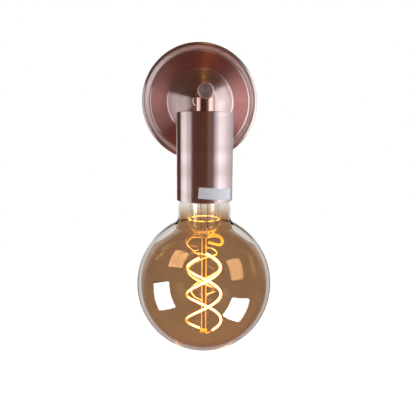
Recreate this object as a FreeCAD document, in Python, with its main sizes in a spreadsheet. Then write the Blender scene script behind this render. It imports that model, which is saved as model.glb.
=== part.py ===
import FreeCAD, Part
import math
import os
import Sketcher

from FreeCAD import Rotation, Vector

# Short arm wall light: a round wall plate, a short arm, a swivel knuckle and a lampholder cup with a globe lamp.
# The origin is the centre of the plate's back face, on the wall. X is right, Y goes into the wall, Z is up.
# Depth is measured from the wall into the room (minus Y), and drop is measured down from the arm's axis (minus Z).

doc = FreeCAD.newDocument("short_arm_wall_light")
sheet = doc.addObject("Spreadsheet::Sheet", "Sizes")
nodes = []


class Size:
    """A length of the sheet, or a sum of such lengths, with its value now and the words that bind it."""

    def __init__(self, value, words):
        self.value = value
        self.words = words

    def __add__(self, other):
        return Size(self.value + number(other), f"({self.words} + {words(other)})")

    def __sub__(self, other):
        return Size(self.value - number(other), f"({self.words} - {words(other)})")

    def __rsub__(self, other):
        return Size(number(other) - self.value, f"({words(other)} - {self.words})")

    def __mul__(self, other):
        return Size(self.value * number(other), f"({self.words} * {words(other)})")

    def __truediv__(self, other):
        return Size(self.value / number(other), f"({self.words} / {words(other)})")

    def __neg__(self):
        return Size(-self.value, f"(-{self.words})")

    __radd__ = __add__
    __rmul__ = __mul__


def number(value):
    return value.value if isinstance(value, Size) else float(value)


def words(value):
    return value.words if isinstance(value, Size) else str(value)


def root(value):
    return Size(math.sqrt(value.value), f"sqrt({value.words})")


def size(alias, millimetres):
    """Writes one driving dimension in the sheet and returns it."""
    row = size.rows = size.rows + 1
    sheet.set(f"A{row}", alias.replace("_", " "))
    sheet.set(f"B{row}", str(millimetres))
    sheet.setAlias(f"B{row}", alias)
    return Size(float(millimetres), f"Sizes.{alias}")


size.rows = 0


def bind(item, **properties):
    for name, value in properties.items():
        setattr(item, name, number(value))
        if isinstance(value, Size):
            item.setExpression(name, value.words)
    return item


def put(item, x, y, z, turn=Rotation()):
    """Places an item, and binds its place to the sheet."""
    item.Placement = FreeCAD.Placement(Vector(number(x), number(y), number(z)), turn)
    for axis, value in zip("xyz", (x, y, z)):
        if isinstance(value, Size):
            item.setExpression(f"Placement.Base.{axis}", value.words)
    return item


def node(item, label):
    """Names a finished piece of the light."""
    item.Label = label
    nodes.append(item)
    return item


along_x = Rotation(Vector(0, 1, 0), 90)
towards_room = Rotation(Vector(1, 0, 0), 90)
along_z = Rotation()


def rod(radius, length, x, y, z, turn=along_z):
    """A cylinder that starts at x, y, z."""
    item = doc.addObject("Part::Cylinder", "Rod")
    return put(bind(item, Radius=radius, Height=length), x, y, z, turn)


def block(width, depth, height, x, y, z):
    """A box from its lowest corner."""
    item = doc.addObject("Part::Box", "Block")
    return put(bind(item, Length=width, Width=depth, Height=height), x, y, z)


def hexagon(across_corners, length, x, y, z, turn=along_z):
    item = doc.addObject("Part::Prism", "Hexagon")
    item.Polygon = 6
    return put(bind(item, Circumradius=across_corners / 2, Height=length), x, y, z, turn)


def joined(*items):
    item = doc.addObject("Part::MultiFuse", "Joined")
    item.Shapes = list(items)
    return item


def group(*items):
    """Like pieces that stay separate solids of one node."""
    item = doc.addObject("Part::Compound", "Group")
    item.Links = list(items)
    return item


def cut(base, *tools):
    item = doc.addObject("Part::Cut", "Cut")
    item.Base = base
    item.Tool = tools[0] if len(tools) == 1 else joined(*tools)
    return item


def body(label):
    item = doc.addObject("PartDesign::Body", label)
    return node(item, label)


def sketch(owner, role):
    """An empty sketch on one of the body's own origin planes."""
    item = owner.newObject("Sketcher::SketchObject", "Sketch")
    plane = [part for part in owner.Origin.OriginFeatures if part.Role == role][0]
    item.AttachmentSupport = [(plane, "")]
    item.MapMode = "FlatFace"
    return item


def limit(item, kind, *places_and_value):
    """Adds a constraint whose value, the last one, is bound to the sheet."""
    *places, value = places_and_value
    index = item.addConstraint(Sketcher.Constraint(kind, *places, number(value)))
    if isinstance(value, Size):
        item.setExpression(f"Constraints[{index}]", value.words)


origin_point = (-1, 1)
horizontal_axis_index = -1
vertical_axis_index = -2


def pin_point(item, geometry, vertex, x, y):
    """Holds a point of a sketch at x and y, each measured from the sketch's origin, or on that axis at nought."""
    for kind, value, axis in (("DistanceX", x, vertical_axis_index), ("DistanceY", y, horizontal_axis_index)):
        if isinstance(value, Size):
            limit(item, kind, *origin_point, geometry, vertex, value)
        else:
            item.addConstraint(Sketcher.Constraint("PointOnObject", geometry, vertex, axis))


def outline(item, corners):
    """Draws a closed outline. A corner (x, y) is reached by a line, and (x, y, radius, side) by an arc of under
    half a circle whose centre lies to the left of the way there (side 1) or to the right of it (side -1)."""
    points = [Vector(number(corner[0]), number(corner[1]), 0) for corner in corners]
    ends = []
    for place, start in enumerate(points):
        end = points[(place + 1) % len(points)]
        way = corners[(place + 1) % len(points)][2:]
        if way:
            radius, side = way
            across = end - start
            left = Vector(-across.y, across.x, 0).normalize()
            rise = math.sqrt(number(radius) ** 2 - across.Length**2 / 4)
            middle = (start + end) / 2 + left * side * (rise - number(radius))
            piece = item.addGeometry(Part.Arc(start, middle, end), False)
            limit(item, "Radius", piece, radius)
        else:
            piece = item.addGeometry(Part.LineSegment(start, end), False)
        first = 1 if (item.getPoint(piece, 1) - start).Length < (item.getPoint(piece, 2) - start).Length else 2
        ends.append((piece, first, 3 - first))
    for place, (piece, first, last) in enumerate(ends):
        before = ends[place - 1]
        item.addConstraint(Sketcher.Constraint("Coincident", before[0], before[2], piece, first))
        pin_point(item, piece, first, corners[place][0], corners[place][1])


def circle(item, radius, x, y):
    centre = Vector(number(x), number(y), 0)
    piece = item.addGeometry(Part.Circle(centre, Vector(0, 0, 1), number(radius)), False)
    limit(item, "Radius", piece, radius)
    pin_point(item, piece, 3, x, y)


def turned(label, role, axis, corners):
    """A piece turned from one outline round a sketch axis."""
    owner = body(label)
    profile = sketch(owner, role)
    outline(profile, corners)
    turning = owner.newObject("PartDesign::Revolution", "Turning")
    turning.Profile = profile
    turning.ReferenceAxis = (profile, [axis])
    turning.Angle = 360
    return owner


def turned_on_arm(label, corners):
    """Turned round the arm's axis. Its corners are (minus depth, radius)."""
    return turned(label, "YZ_Plane", "H_Axis", corners)


def turned_on_head(label, corners):
    """Turned round the head's upright axis. Its corners are (radius, minus drop)."""
    return put(turned(label, "XZ_Plane", "V_Axis", corners), 0, -reach, 0)


# Wall plate: one sheet of steel, spun to a rolled rim bead with a sloping flank, a groove, a flat field and a
# round dome.
plate_radius = size("plate_radius", 50.0)
plate_sheet = size("plate_sheet", 1.0)
rim_side = size("rim_side", 5.8)
bead_radius = size("bead_radius", 2.2)
flank_width = size("flank_width", 2.6)
groove_width = size("groove_width", 0.4)
field_roll = size("field_roll", 1.5)
field_slope = size("field_slope", 0.6)
cove_rise = size("cove_rise", 1.2)
dome_radius = size("dome_radius", 30.8)
dome_reach = size("dome_reach", 25.5)
landing_radius = size("landing_radius", 8.0)
arm_thread_radius = size("arm_thread_radius", 5.0)
free_fit = size("free_fit", 0.2)
thread_fit = size("thread_fit", 0.05)
rim_screw_depth = size("rim_screw_depth", 3.1)
rim_screw_radius = size("rim_screw_radius", 1.45)

bead_lean_share = 0.82
bead_lean_width_share = math.sqrt(1 - bead_lean_share**2)
bead_centre = plate_radius - bead_radius
bead_inner = bead_radius - plate_sheet
bead_end_radius = bead_centre - bead_radius * bead_lean_width_share
bead_end_depth = rim_side + bead_radius * bead_lean_share
flank_end_radius = bead_end_radius - flank_width
flank_corner_share = (1 - bead_lean_share) / bead_lean_width_share
groove_radius = flank_end_radius - groove_width
groove_depth = bead_end_depth - flank_width * bead_lean_width_share / bead_lean_share
field_radius = groove_radius - field_roll
field_depth = groove_depth + field_roll
field_inner_depth = field_depth + field_slope
dome_centre = dome_radius - dome_reach
dome_start_rise = field_inner_depth + cove_rise + dome_centre
dome_start_radius = root(dome_radius * dome_radius - dome_start_rise * dome_start_rise)
cove_radius = cove_rise * dome_radius / (dome_radius - dome_start_rise)
cove_start_radius = dome_start_radius + cove_rise * dome_start_radius / (dome_radius - dome_start_rise)
dome_inner = dome_radius - plate_sheet
landing_depth = root(dome_radius * dome_radius - landing_radius * landing_radius) - dome_centre
landing_back = landing_depth - plate_sheet
landing_back_radius = root(
    dome_inner * dome_inner - (landing_back + dome_centre) * (landing_back + dome_centre)
)
arm_hole_radius = arm_thread_radius + free_fit

wall_plate = turned_on_arm(
    "wall_plate",
    [
        (0, plate_radius),
        (-rim_side, plate_radius),
        (-bead_end_depth, bead_end_radius, bead_radius, 1),
        (-groove_depth, flank_end_radius),
        (-groove_depth, groove_radius),
        (-field_depth, field_radius, field_roll, 1),
        (-field_inner_depth, cove_start_radius),
        (-(field_inner_depth + cove_rise), dome_start_radius, cove_radius, -1),
        (-landing_depth, landing_radius, dome_radius, 1),
        (-landing_depth, arm_hole_radius),
        (-landing_back, arm_hole_radius),
        (-landing_back, landing_back_radius),
        (
            dome_centre - dome_start_rise * dome_inner / dome_radius,
            dome_start_radius * dome_inner / dome_radius,
            dome_inner,
            -1,
        ),
        (plate_sheet - field_inner_depth, cove_start_radius, cove_radius + plate_sheet, 1),
        (plate_sheet - field_depth, field_radius),
        (-groove_depth, field_radius + field_roll - plate_sheet, field_roll - plate_sheet, -1),
        (plate_sheet - groove_depth, field_radius + field_roll - plate_sheet),
        (plate_sheet - groove_depth, flank_end_radius + plate_sheet * flank_corner_share),
        (
            -(rim_side + bead_inner * bead_lean_share),
            bead_centre - bead_inner * bead_lean_width_share,
        ),
        (-rim_side, plate_radius - plate_sheet, bead_inner, -1),
        (0, plate_radius - plate_sheet),
    ],
)
rim_hole_sketch = sketch(wall_plate, "YZ_Plane")
circle(rim_hole_sketch, rim_screw_radius + free_fit, -rim_screw_depth, 0)
rim_holes = wall_plate.newObject("PartDesign::Pocket", "RimHoles")
rim_holes.Profile = rim_hole_sketch
rim_holes.Type = "ThroughAll"
rim_holes.SideType = "Symmetric"

# Mounting bracket: a steel strap with two slots for the wall screws and a tapped lug at each end.
strap_sheet = size("strap_sheet", 1.5)
strap_half_height = size("strap_half_height", 16.0)
strap_half_length = size("strap_half_length", 38.0)
lug_half_width = size("lug_half_width", 5.0)
lug_gap = size("lug_gap", 0.3)
lug_height = size("lug_height", 5.3)
slot_spacing = size("slot_spacing", 60.0)
slot_length = size("slot_length", 10.0)
slot_half_width = size("slot_half_width", 2.2)
bush_centre_x = size("bush_centre_x", -7.0)
bush_centre_z = size("bush_centre_z", 8.0)
bush_hole_radius = size("bush_hole_radius", 5.6)
earth_x = size("earth_x", 14.0)
earth_z = size("earth_z", 9.0)
earth_screw_radius = size("earth_screw_radius", 1.95)
terminal_z = size("terminal_z", -11.0)
pole_spacing = size("pole_spacing", 7.6)
fixing_radius = size("fixing_radius", 1.2)

fixing_x = pole_spacing / 2
lug_outer = bead_centre + bead_inner - lug_gap - plate_sheet
lug_inner = lug_outer - strap_sheet

mounting_bracket = body("mounting_bracket")
strap_sketch = sketch(mounting_bracket, "XZ_Plane")
outline(
    strap_sketch,
    [
        (-strap_half_length, -strap_half_height),
        (strap_half_length, -strap_half_height),
        (strap_half_length, -lug_half_width),
        (lug_outer, -lug_half_width),
        (lug_outer, lug_half_width),
        (strap_half_length, lug_half_width),
        (strap_half_length, strap_half_height),
        (-strap_half_length, strap_half_height),
        (-strap_half_length, lug_half_width),
        (-lug_outer, lug_half_width),
        (-lug_outer, -lug_half_width),
        (-strap_half_length, -lug_half_width),
    ],
)
for side in (-1, 1):
    slot_near = side * slot_spacing / 2 - (slot_length / 2 - slot_half_width)
    slot_far = side * slot_spacing / 2 + (slot_length / 2 - slot_half_width)
    slot_reach = slot_length / 2
    slot_middle = side * slot_spacing / 2
    outline(
        strap_sketch,
        [
            (slot_near, -slot_half_width, slot_half_width, 1),
            (slot_far, -slot_half_width),
            (slot_middle + slot_reach, 0, slot_half_width, 1),
            (slot_far, slot_half_width, slot_half_width, 1),
            (slot_near, slot_half_width),
            (slot_middle - slot_reach, 0, slot_half_width, 1),
        ],
    )
circle(strap_sketch, bush_hole_radius, bush_centre_x, bush_centre_z)
circle(strap_sketch, earth_screw_radius + thread_fit, earth_x, earth_z)
circle(strap_sketch, fixing_radius + thread_fit, fixing_x, terminal_z)
strap = mounting_bracket.newObject("PartDesign::Pad", "Strap")
strap.Profile = strap_sketch
bind(strap, Length=strap_sheet)
lug_sketch = sketch(mounting_bracket, "XZ_Plane")
for side in (-1, 1):
    outline(
        lug_sketch,
        [
            (side * lug_inner, -side * lug_half_width),
            (side * lug_outer, -side * lug_half_width),
            (side * lug_outer, side * lug_half_width),
            (side * lug_inner, side * lug_half_width),
        ],
    )
lugs = mounting_bracket.newObject("PartDesign::Pad", "Lugs")
lugs.Profile = lug_sketch
bind(lugs, Length=lug_height)
lug_hole_sketch = sketch(mounting_bracket, "YZ_Plane")
circle(lug_hole_sketch, rim_screw_radius + thread_fit, -rim_screw_depth, 0)
lug_holes = mounting_bracket.newObject("PartDesign::Pocket", "LugHoles")
lug_holes.Profile = lug_hole_sketch
lug_holes.Type = "ThroughAll"
lug_holes.SideType = "Symmetric"

# Rim screws: two slotted set screws, backed out of the lugs into the holes of the rim.
rim_screw_sink = size("rim_screw_sink", 0.1)
rim_screw_length = size("rim_screw_length", 5.0)
rim_slot_width = size("rim_slot_width", 0.5)
rim_slot_depth = size("rim_slot_depth", 0.8)

rim_screw_end = plate_radius - rim_screw_sink
rim_screws = []
for side in (-1, 1):
    inner_end = rim_screw_end - rim_screw_length
    start = inner_end if side == 1 else -rim_screw_end
    slot_start = rim_screw_end - rim_slot_depth if side == 1 else -rim_screw_end
    shank = rod(rim_screw_radius, rim_screw_length, start, -rim_screw_depth, 0, along_x)
    driver_slot = block(
        rim_slot_depth,
        rim_slot_width,
        rim_screw_radius * 2,
        slot_start,
        -rim_screw_depth - rim_slot_width / 2,
        -rim_screw_radius,
    )
    rim_screws.append(cut(shank, driver_slot))
node(group(*rim_screws), "rim_screws")

# Cable bush: a rubber bush in the strap, where the house cable comes out of the wall.
bush_bore_radius = size("bush_bore_radius", 3.8)
bush_flange_radius = size("bush_flange_radius", 6.8)
bush_flange = size("bush_flange", 1.4)

bush_tube = rod(bush_hole_radius - thread_fit, strap_sheet, bush_centre_x, 0, bush_centre_z, towards_room)
bush_collar = rod(bush_flange_radius, bush_flange, bush_centre_x, -strap_sheet, bush_centre_z, towards_room)
bush_bore = rod(
    bush_bore_radius, strap_sheet + bush_flange, bush_centre_x, 0, bush_centre_z, towards_room
)
node(cut(joined(bush_tube, bush_collar), bush_bore), "cable_bush")

# Terminal block: a moulded three-pole block on the strap, with a brass barrel and two clamp screws for each pole.
terminal_end_wall = size("terminal_end_wall", 1.3)
terminal_half_height = size("terminal_half_height", 6.0)
terminal_depth = size("terminal_depth", 10.0)
pole_rise = size("pole_rise", 4.0)
barrel_radius = size("barrel_radius", 2.2)
barrel_bore_radius = size("barrel_bore_radius", 1.3)
barrel_inset = size("barrel_inset", 0.5)
clamp_screw_radius = size("clamp_screw_radius", 1.1)
clamp_screw_sink = size("clamp_screw_sink", 0.6)
clamp_screw_spacing = size("clamp_screw_spacing", 6.0)
fixing_head_radius = size("fixing_head_radius", 1.9)
fixing_head = size("fixing_head", 1.5)
lead_radius = size("lead_radius", 0.75)

terminal_half_width = pole_spacing + barrel_radius + terminal_end_wall
terminal_front = strap_sheet + terminal_depth
pole_depth = strap_sheet + pole_rise
terminal_top = terminal_z + terminal_half_height
terminal_bottom = terminal_z - terminal_half_height
barrel_length = (terminal_half_height - barrel_inset) * 2
clamp_tip_depth = pole_depth + lead_radius + thread_fit
clamp_front = terminal_front - clamp_screw_sink

terminal_tools = []
barrels = []
clamp_screws = []
for pole in (-1, 0, 1):
    pole_x = pole * pole_spacing
    terminal_tools.append(
        rod(barrel_radius + thread_fit, terminal_half_height * 2, pole_x, -pole_depth, terminal_bottom)
    )
    barrel_base = terminal_bottom + barrel_inset
    tube = rod(barrel_radius, barrel_length, pole_x, -pole_depth, barrel_base)
    tube_bore = rod(barrel_bore_radius, barrel_length, pole_x, -pole_depth, barrel_base)
    tapped = []
    for row in (-1, 1):
        screw_z = terminal_z + row * clamp_screw_spacing / 2
        well_length = terminal_front - pole_depth
        screw_length = clamp_front - clamp_tip_depth
        terminal_tools.append(
            rod(clamp_screw_radius + free_fit, well_length, pole_x, -pole_depth, screw_z, towards_room)
        )
        tapped.append(
            rod(clamp_screw_radius + thread_fit, well_length, pole_x, -pole_depth, screw_z, towards_room)
        )
        clamp_screws.append(
            rod(clamp_screw_radius, screw_length, pole_x, -clamp_tip_depth, screw_z, towards_room)
        )
    barrels.append(cut(tube, tube_bore, *tapped))
fixing_hole = rod(fixing_radius + free_fit, terminal_depth, fixing_x, -strap_sheet, terminal_z, towards_room)
fixing_well = rod(
    fixing_head_radius + thread_fit,
    fixing_head,
    fixing_x,
    fixing_head - terminal_front,
    terminal_z,
    towards_room,
)
terminal_moulding = block(
    terminal_half_width * 2,
    terminal_depth,
    terminal_half_height * 2,
    -terminal_half_width,
    -terminal_front,
    terminal_bottom,
)
node(cut(terminal_moulding, fixing_hole, fixing_well, *terminal_tools), "terminal_block")
node(group(*barrels), "terminal_barrels")
node(group(*clamp_screws), "terminal_screws")

# Fixing screw: holds the terminal block on the strap.
fixing_shank = rod(
    fixing_radius, terminal_front - fixing_head, fixing_x, 0, terminal_z, towards_room
)
fixing_cap = rod(fixing_head_radius, fixing_head, fixing_x, fixing_head - terminal_front, terminal_z, towards_room)
node(joined(fixing_shank, fixing_cap), "terminal_fixing_screw")

# Earth point: a ring terminal crimped on the earth lead, under a brass pan-head screw tapped in the strap.
ring_radius = size("ring_radius", 4.0)
ring_sheet = size("ring_sheet", 0.8)
crimp_radius = size("crimp_radius", 1.5)
crimp_length = size("crimp_length", 4.0)
earth_head_radius = size("earth_head_radius", 3.5)
earth_head = size("earth_head", 2.2)

ring_front = strap_sheet + ring_sheet
crimp_depth = strap_sheet + crimp_radius + thread_fit
crimp_top = earth_z - earth_head_radius - free_fit
crimp_bottom = crimp_top - crimp_length
ring_plate = rod(ring_radius, ring_sheet, earth_x, -strap_sheet, earth_z, towards_room)
crimp = rod(crimp_radius, crimp_length, earth_x, -crimp_depth, crimp_bottom)
ring_neck = block(
    crimp_radius * 2, ring_sheet, earth_z - crimp_bottom, earth_x - crimp_radius, -ring_front, crimp_bottom
)
ring_hole = rod(earth_screw_radius + free_fit, ring_sheet, earth_x, -strap_sheet, earth_z, towards_room)
crimp_bore = rod(lead_radius + thread_fit, crimp_length, earth_x, -crimp_depth, crimp_bottom)
node(cut(joined(ring_plate, crimp, ring_neck), ring_hole, crimp_bore), "earth_ring_terminal")
earth_shank = rod(earth_screw_radius, ring_front, earth_x, 0, earth_z, towards_room)
earth_cap = rod(earth_head_radius, earth_head, earth_x, -ring_front, earth_z, towards_room)
node(joined(earth_shank, earth_cap), "earth_screw")

# Arm: a straight steel tube. Its thinner threaded end passes the collar and the dome, and a nut holds it inside.
reach = size("reach", 88.0)
arm_radius = size("arm_radius", 5.45)
arm_bore_radius = size("arm_bore_radius", 3.05)
collar_radius = size("collar_radius", 7.0)
collar_length = size("collar_length", 4.0)
collar_chamfer = size("collar_chamfer", 0.6)
lock_washer_radius = size("lock_washer_radius", 7.6)
lock_washer_sheet = size("lock_washer_sheet", 0.8)
locknut_corners = size("locknut_corners", 15.0)
locknut_length = size("locknut_length", 3.0)
arm_tail = size("arm_tail", 3.4)
eye_rear = size("eye_rear", 5.0)
thrust_washer_sheet = size("thrust_washer_sheet", 0.5)
face_gap = size("face_gap", 0.05)

collar_front = landing_depth + collar_length
washer_back = landing_back - lock_washer_sheet
locknut_back = washer_back - locknut_length
arm_end_depth = locknut_back - arm_tail
arm_front_depth = reach - eye_rear - thrust_washer_sheet - face_gap * 2
arm_seat_radius = arm_thread_radius + thread_fit

turned_on_arm(
    "arm_tube",
    [
        (-arm_end_depth, arm_bore_radius),
        (-arm_end_depth, arm_thread_radius),
        (-collar_front, arm_thread_radius),
        (-collar_front, arm_radius),
        (-arm_front_depth, arm_radius),
        (-arm_front_depth, arm_bore_radius),
    ],
)
turned_on_arm(
    "arm_collar",
    [
        (-landing_depth, arm_seat_radius),
        (-landing_depth, collar_radius),
        (collar_chamfer - collar_front, collar_radius),
        (-collar_front, collar_radius - collar_chamfer),
        (-collar_front, arm_seat_radius),
    ],
)
turned_on_arm(
    "lock_washer",
    [
        (-washer_back, arm_seat_radius),
        (-washer_back, lock_washer_radius),
        (-landing_back, lock_washer_radius),
        (-landing_back, arm_seat_radius),
    ],
)
locknut_hex = hexagon(locknut_corners, locknut_length, 0, -locknut_back, 0, towards_room)
locknut_bore = rod(arm_seat_radius, locknut_length, 0, -locknut_back, 0, towards_room)
node(cut(locknut_hex, locknut_bore), "arm_locknut")

# Arm bush: a plastic bush that keeps the leads off the tube's cut end.
arm_bush_wall = size("arm_bush_wall", 0.6)
arm_bush_flange = size("arm_bush_flange", 1.0)
arm_bush_length = size("arm_bush_length", 5.0)

arm_bush_radius = arm_bore_radius - thread_fit
turned_on_arm(
    "arm_bush",
    [
        (arm_bush_flange - arm_end_depth, arm_bush_radius - arm_bush_wall),
        (arm_bush_flange - arm_end_depth, arm_thread_radius),
        (-arm_end_depth, arm_thread_radius),
        (-arm_end_depth, arm_bush_radius),
        (-(arm_end_depth + arm_bush_length), arm_bush_radius),
        (-(arm_end_depth + arm_bush_length), arm_bush_radius - arm_bush_wall),
    ],
)

# Swivel: a hollow bolt, screwed in the arm's front end, carries the knuckle. A round nut and a dished spring
# washer inside the knuckle press it against a thrust washer on the arm, so it turns stiffly and stays where it is.
pivot_radius = size("pivot_radius", 3.0)
pivot_bore_radius = size("pivot_bore_radius", 2.0)
pivot_grip = size("pivot_grip", 6.4)
thrust_washer_radius = size("thrust_washer_radius", 5.3)
eye_radius = size("eye_radius", 5.45)
eye_front = size("eye_front", 5.2)
eye_wall = size("eye_wall", 2.4)
chamber_radius = size("chamber_radius", 4.6)
chamber_gap = size("chamber_gap", 0.3)
spring_dish = size("spring_dish", 0.55)
spring_sheet = size("spring_sheet", 0.25)
pivot_nut_length = size("pivot_nut_length", 1.8)
pivot_tail = size("pivot_tail", 0.1)
pivot_notch = size("pivot_notch", 0.9)

eye_back = reach - eye_rear
eye_inner = eye_back + eye_wall
spring_back = eye_inner + face_gap
pivot_nut_back = spring_back + spring_dish
pivot_nut_front = pivot_nut_back + pivot_nut_length
pivot_front = pivot_nut_front + pivot_tail
pivot_back = arm_front_depth - pivot_grip
pivot_nut_radius = chamber_radius - chamber_gap
pivot_seat_radius = pivot_radius + thread_fit
spring_flat = spring_dish - spring_sheet

turned_on_arm(
    "pivot_bolt",
    [
        (-pivot_back, pivot_bore_radius),
        (-pivot_back, pivot_radius),
        (-pivot_front, pivot_radius),
        (-pivot_front, pivot_bore_radius),
    ],
)
turned_on_arm(
    "thrust_washer",
    [
        (-(arm_front_depth + face_gap), pivot_seat_radius),
        (-(arm_front_depth + face_gap), thrust_washer_radius),
        (face_gap - eye_back, thrust_washer_radius),
        (face_gap - eye_back, pivot_seat_radius),
    ],
)
turned_on_arm(
    "spring_washer",
    [
        (-spring_back, pivot_nut_radius),
        (-(spring_back + spring_flat), pivot_seat_radius),
        (-pivot_nut_back, pivot_seat_radius),
        (-(spring_back + spring_sheet), pivot_nut_radius),
    ],
)
pivot_nut_round = rod(pivot_nut_radius, pivot_nut_length, 0, -pivot_nut_back, 0, towards_room)
pivot_nut_bore = rod(pivot_seat_radius, pivot_nut_length, 0, -pivot_nut_back, 0, towards_room)
pivot_nut_slot = block(
    pivot_nut_radius * 2,
    pivot_notch,
    pivot_notch,
    -pivot_nut_radius,
    -pivot_nut_front,
    -pivot_notch / 2,
)
node(cut(pivot_nut_round, pivot_nut_bore, pivot_nut_slot), "pivot_nut")

# Knuckle: a turned steel post with a round top, and a short cross barrel that turns on the pivot bolt.
post_radius = size("post_radius", 6.75)
ball_drop = size("ball_drop", 5.3)
holder_drop = size("holder_drop", 13.7)
seat_gap = size("seat_gap", 0.3)
seat_reach = size("seat_reach", 3.5)
passage_radius = size("passage_radius", 3.4)
passage_top = size("passage_top", 4.2)
nipple_radius = size("nipple_radius", 5.0)
nipple_bore_radius = size("nipple_bore_radius", 3.5)
nipple_grip = size("nipple_grip", 5.7)
nipple_tip_gap = size("nipple_tip_gap", 0.2)
cap_rim_fit = size("cap_rim_fit", 0.1)

knuckle_post = rod(post_radius, holder_drop - ball_drop, 0, -reach, -holder_drop)
knuckle_ball = put(
    bind(doc.addObject("Part::Sphere", "Ball"), Radius=post_radius), 0, -reach, -ball_drop
)
knuckle_eye = rod(eye_radius, eye_rear + eye_front, 0, -eye_back, 0, towards_room)
front_seat = rod(eye_radius + cap_rim_fit, seat_reach, 0, -(reach + eye_front), 0, towards_room)
rear_seat = rod(arm_radius + seat_gap, seat_reach, 0, seat_reach - eye_back, 0, towards_room)
chamber = rod(chamber_radius, eye_front + eye_rear - eye_wall, 0, -eye_inner, 0, towards_room)
bearing = rod(pivot_seat_radius, eye_wall, 0, -eye_back, 0, towards_room)
passage = rod(passage_radius, holder_drop - passage_top, 0, -reach, -holder_drop)
nipple_seat = rod(nipple_radius + thread_fit, nipple_grip + nipple_tip_gap, 0, -reach, -holder_drop)
node(
    cut(
        joined(knuckle_post, knuckle_ball, knuckle_eye),
        front_seat,
        rear_seat,
        chamber,
        bearing,
        passage,
        nipple_seat,
    ),
    "knuckle_body",
)

# Pivot cap: a turned disc with a bevelled rim that closes the front of the knuckle.
cap_radius = size("cap_radius", 5.45)
cap_length = size("cap_length", 3.3)
cap_bevel = size("cap_bevel", 0.9)
cap_spigot = size("cap_spigot", 1.2)

cap_back = reach + eye_front
turned_on_arm(
    "pivot_cap",
    [
        (cap_spigot - cap_back, 0),
        (cap_spigot - cap_back, chamber_radius - thread_fit),
        (-cap_back, chamber_radius - thread_fit),
        (-cap_back, cap_radius),
        (cap_bevel - cap_back - cap_length, cap_radius),
        (-(cap_back + cap_length), cap_radius - cap_bevel),
        (-(cap_back + cap_length), 0),
    ],
)

# Lampholder cup: a drawn steel cup, open below, clamped under the knuckle by the hollow nipple and its nut.
cup_radius = size("cup_radius", 19.4)
cup_height = size("cup_height", 59.4)
cup_wall = size("cup_wall", 1.0)
cup_edge = size("cup_edge", 0.4)
nipple_washer_radius = size("nipple_washer_radius", 9.0)
nipple_washer_sheet = size("nipple_washer_sheet", 0.8)
nipple_nut_corners = size("nipple_nut_corners", 16.2)
nipple_nut_length = size("nipple_nut_length", 3.0)
nipple_length = size("nipple_length", 16.5)

cup_bottom = holder_drop + cup_height
cup_inner = cup_radius - cup_wall
cup_ceiling = holder_drop + cup_wall
nipple_top = holder_drop - nipple_grip
nipple_bottom = nipple_top + nipple_length
nipple_fit_radius = nipple_radius + thread_fit
nipple_nut_top = cup_ceiling + nipple_washer_sheet
nipple_nut_bottom = nipple_nut_top + nipple_nut_length

turned_on_head(
    "lampholder_cup",
    [
        (nipple_radius + free_fit, -holder_drop),
        (nipple_radius + free_fit, -cup_ceiling),
        (cup_inner, -cup_ceiling),
        (cup_inner, -cup_bottom),
        (cup_radius - cup_edge, -cup_bottom),
        (cup_radius, cup_edge - cup_bottom, cup_edge, 1),
        (cup_radius, -(holder_drop + cup_edge)),
        (cup_radius - cup_edge, -holder_drop, cup_edge, 1),
    ],
)
turned_on_head(
    "holder_nipple",
    [
        (nipple_bore_radius, -nipple_top),
        (nipple_bore_radius, -nipple_bottom),
        (nipple_radius, -nipple_bottom),
        (nipple_radius, -nipple_top),
    ],
)
turned_on_head(
    "nipple_washer",
    [
        (nipple_fit_radius, -cup_ceiling),
        (nipple_fit_radius, -nipple_nut_top),
        (nipple_washer_radius, -nipple_nut_top),
        (nipple_washer_radius, -cup_ceiling),
    ],
)
nipple_nut_hex = hexagon(nipple_nut_corners, nipple_nut_length, 0, -reach, -nipple_nut_bottom)
nipple_nut_bore = rod(nipple_fit_radius, nipple_nut_length, 0, -reach, -nipple_nut_bottom)
node(cut(nipple_nut_hex, nipple_nut_bore), "nipple_nut")

# Socket: a moulded cap screwed on the nipple and a ceramic body, with the screw shell, contacts and terminals.
socket_gap = size("socket_gap", 0.8)
socket_radius = size("socket_radius", 17.8)
socket_cap_roof = size("socket_cap_roof", 3.0)
socket_cap_wall = size("socket_cap_wall", 1.6)
socket_cap_height = size("socket_cap_height", 14.0)
socket_boss_radius = size("socket_boss_radius", 8.0)
socket_spigot = size("socket_spigot", 3.0)
socket_spigot_wall = size("socket_spigot_wall", 1.5)
socket_deck = size("socket_deck", 9.0)
socket_body_height = size("socket_body_height", 33.0)
shell_radius = size("shell_radius", 13.9)
shell_sheet = size("shell_sheet", 0.4)
shell_lip_radius = size("shell_lip_radius", 9.5)
shell_height = size("shell_height", 23.0)
socket_fit = size("socket_fit", 0.1)
contact_pit_radius = size("contact_pit_radius", 8.0)
contact_pit_depth = size("contact_pit_depth", 3.0)

socket_cap_top = nipple_nut_bottom + socket_gap
socket_split = socket_cap_top + socket_cap_height
socket_cap_inner = socket_radius - socket_cap_wall
socket_ceiling = socket_split + socket_deck
socket_bottom = socket_split + socket_body_height
socket_bore_radius = shell_radius + socket_fit
pit_ceiling = socket_ceiling - contact_pit_depth
live_rivet_x = size("live_rivet_x", -5.5)
neutral_rivet_x = size("neutral_rivet_x", 11.6)
rivet_radius = size("rivet_radius", 1.2)

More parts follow.
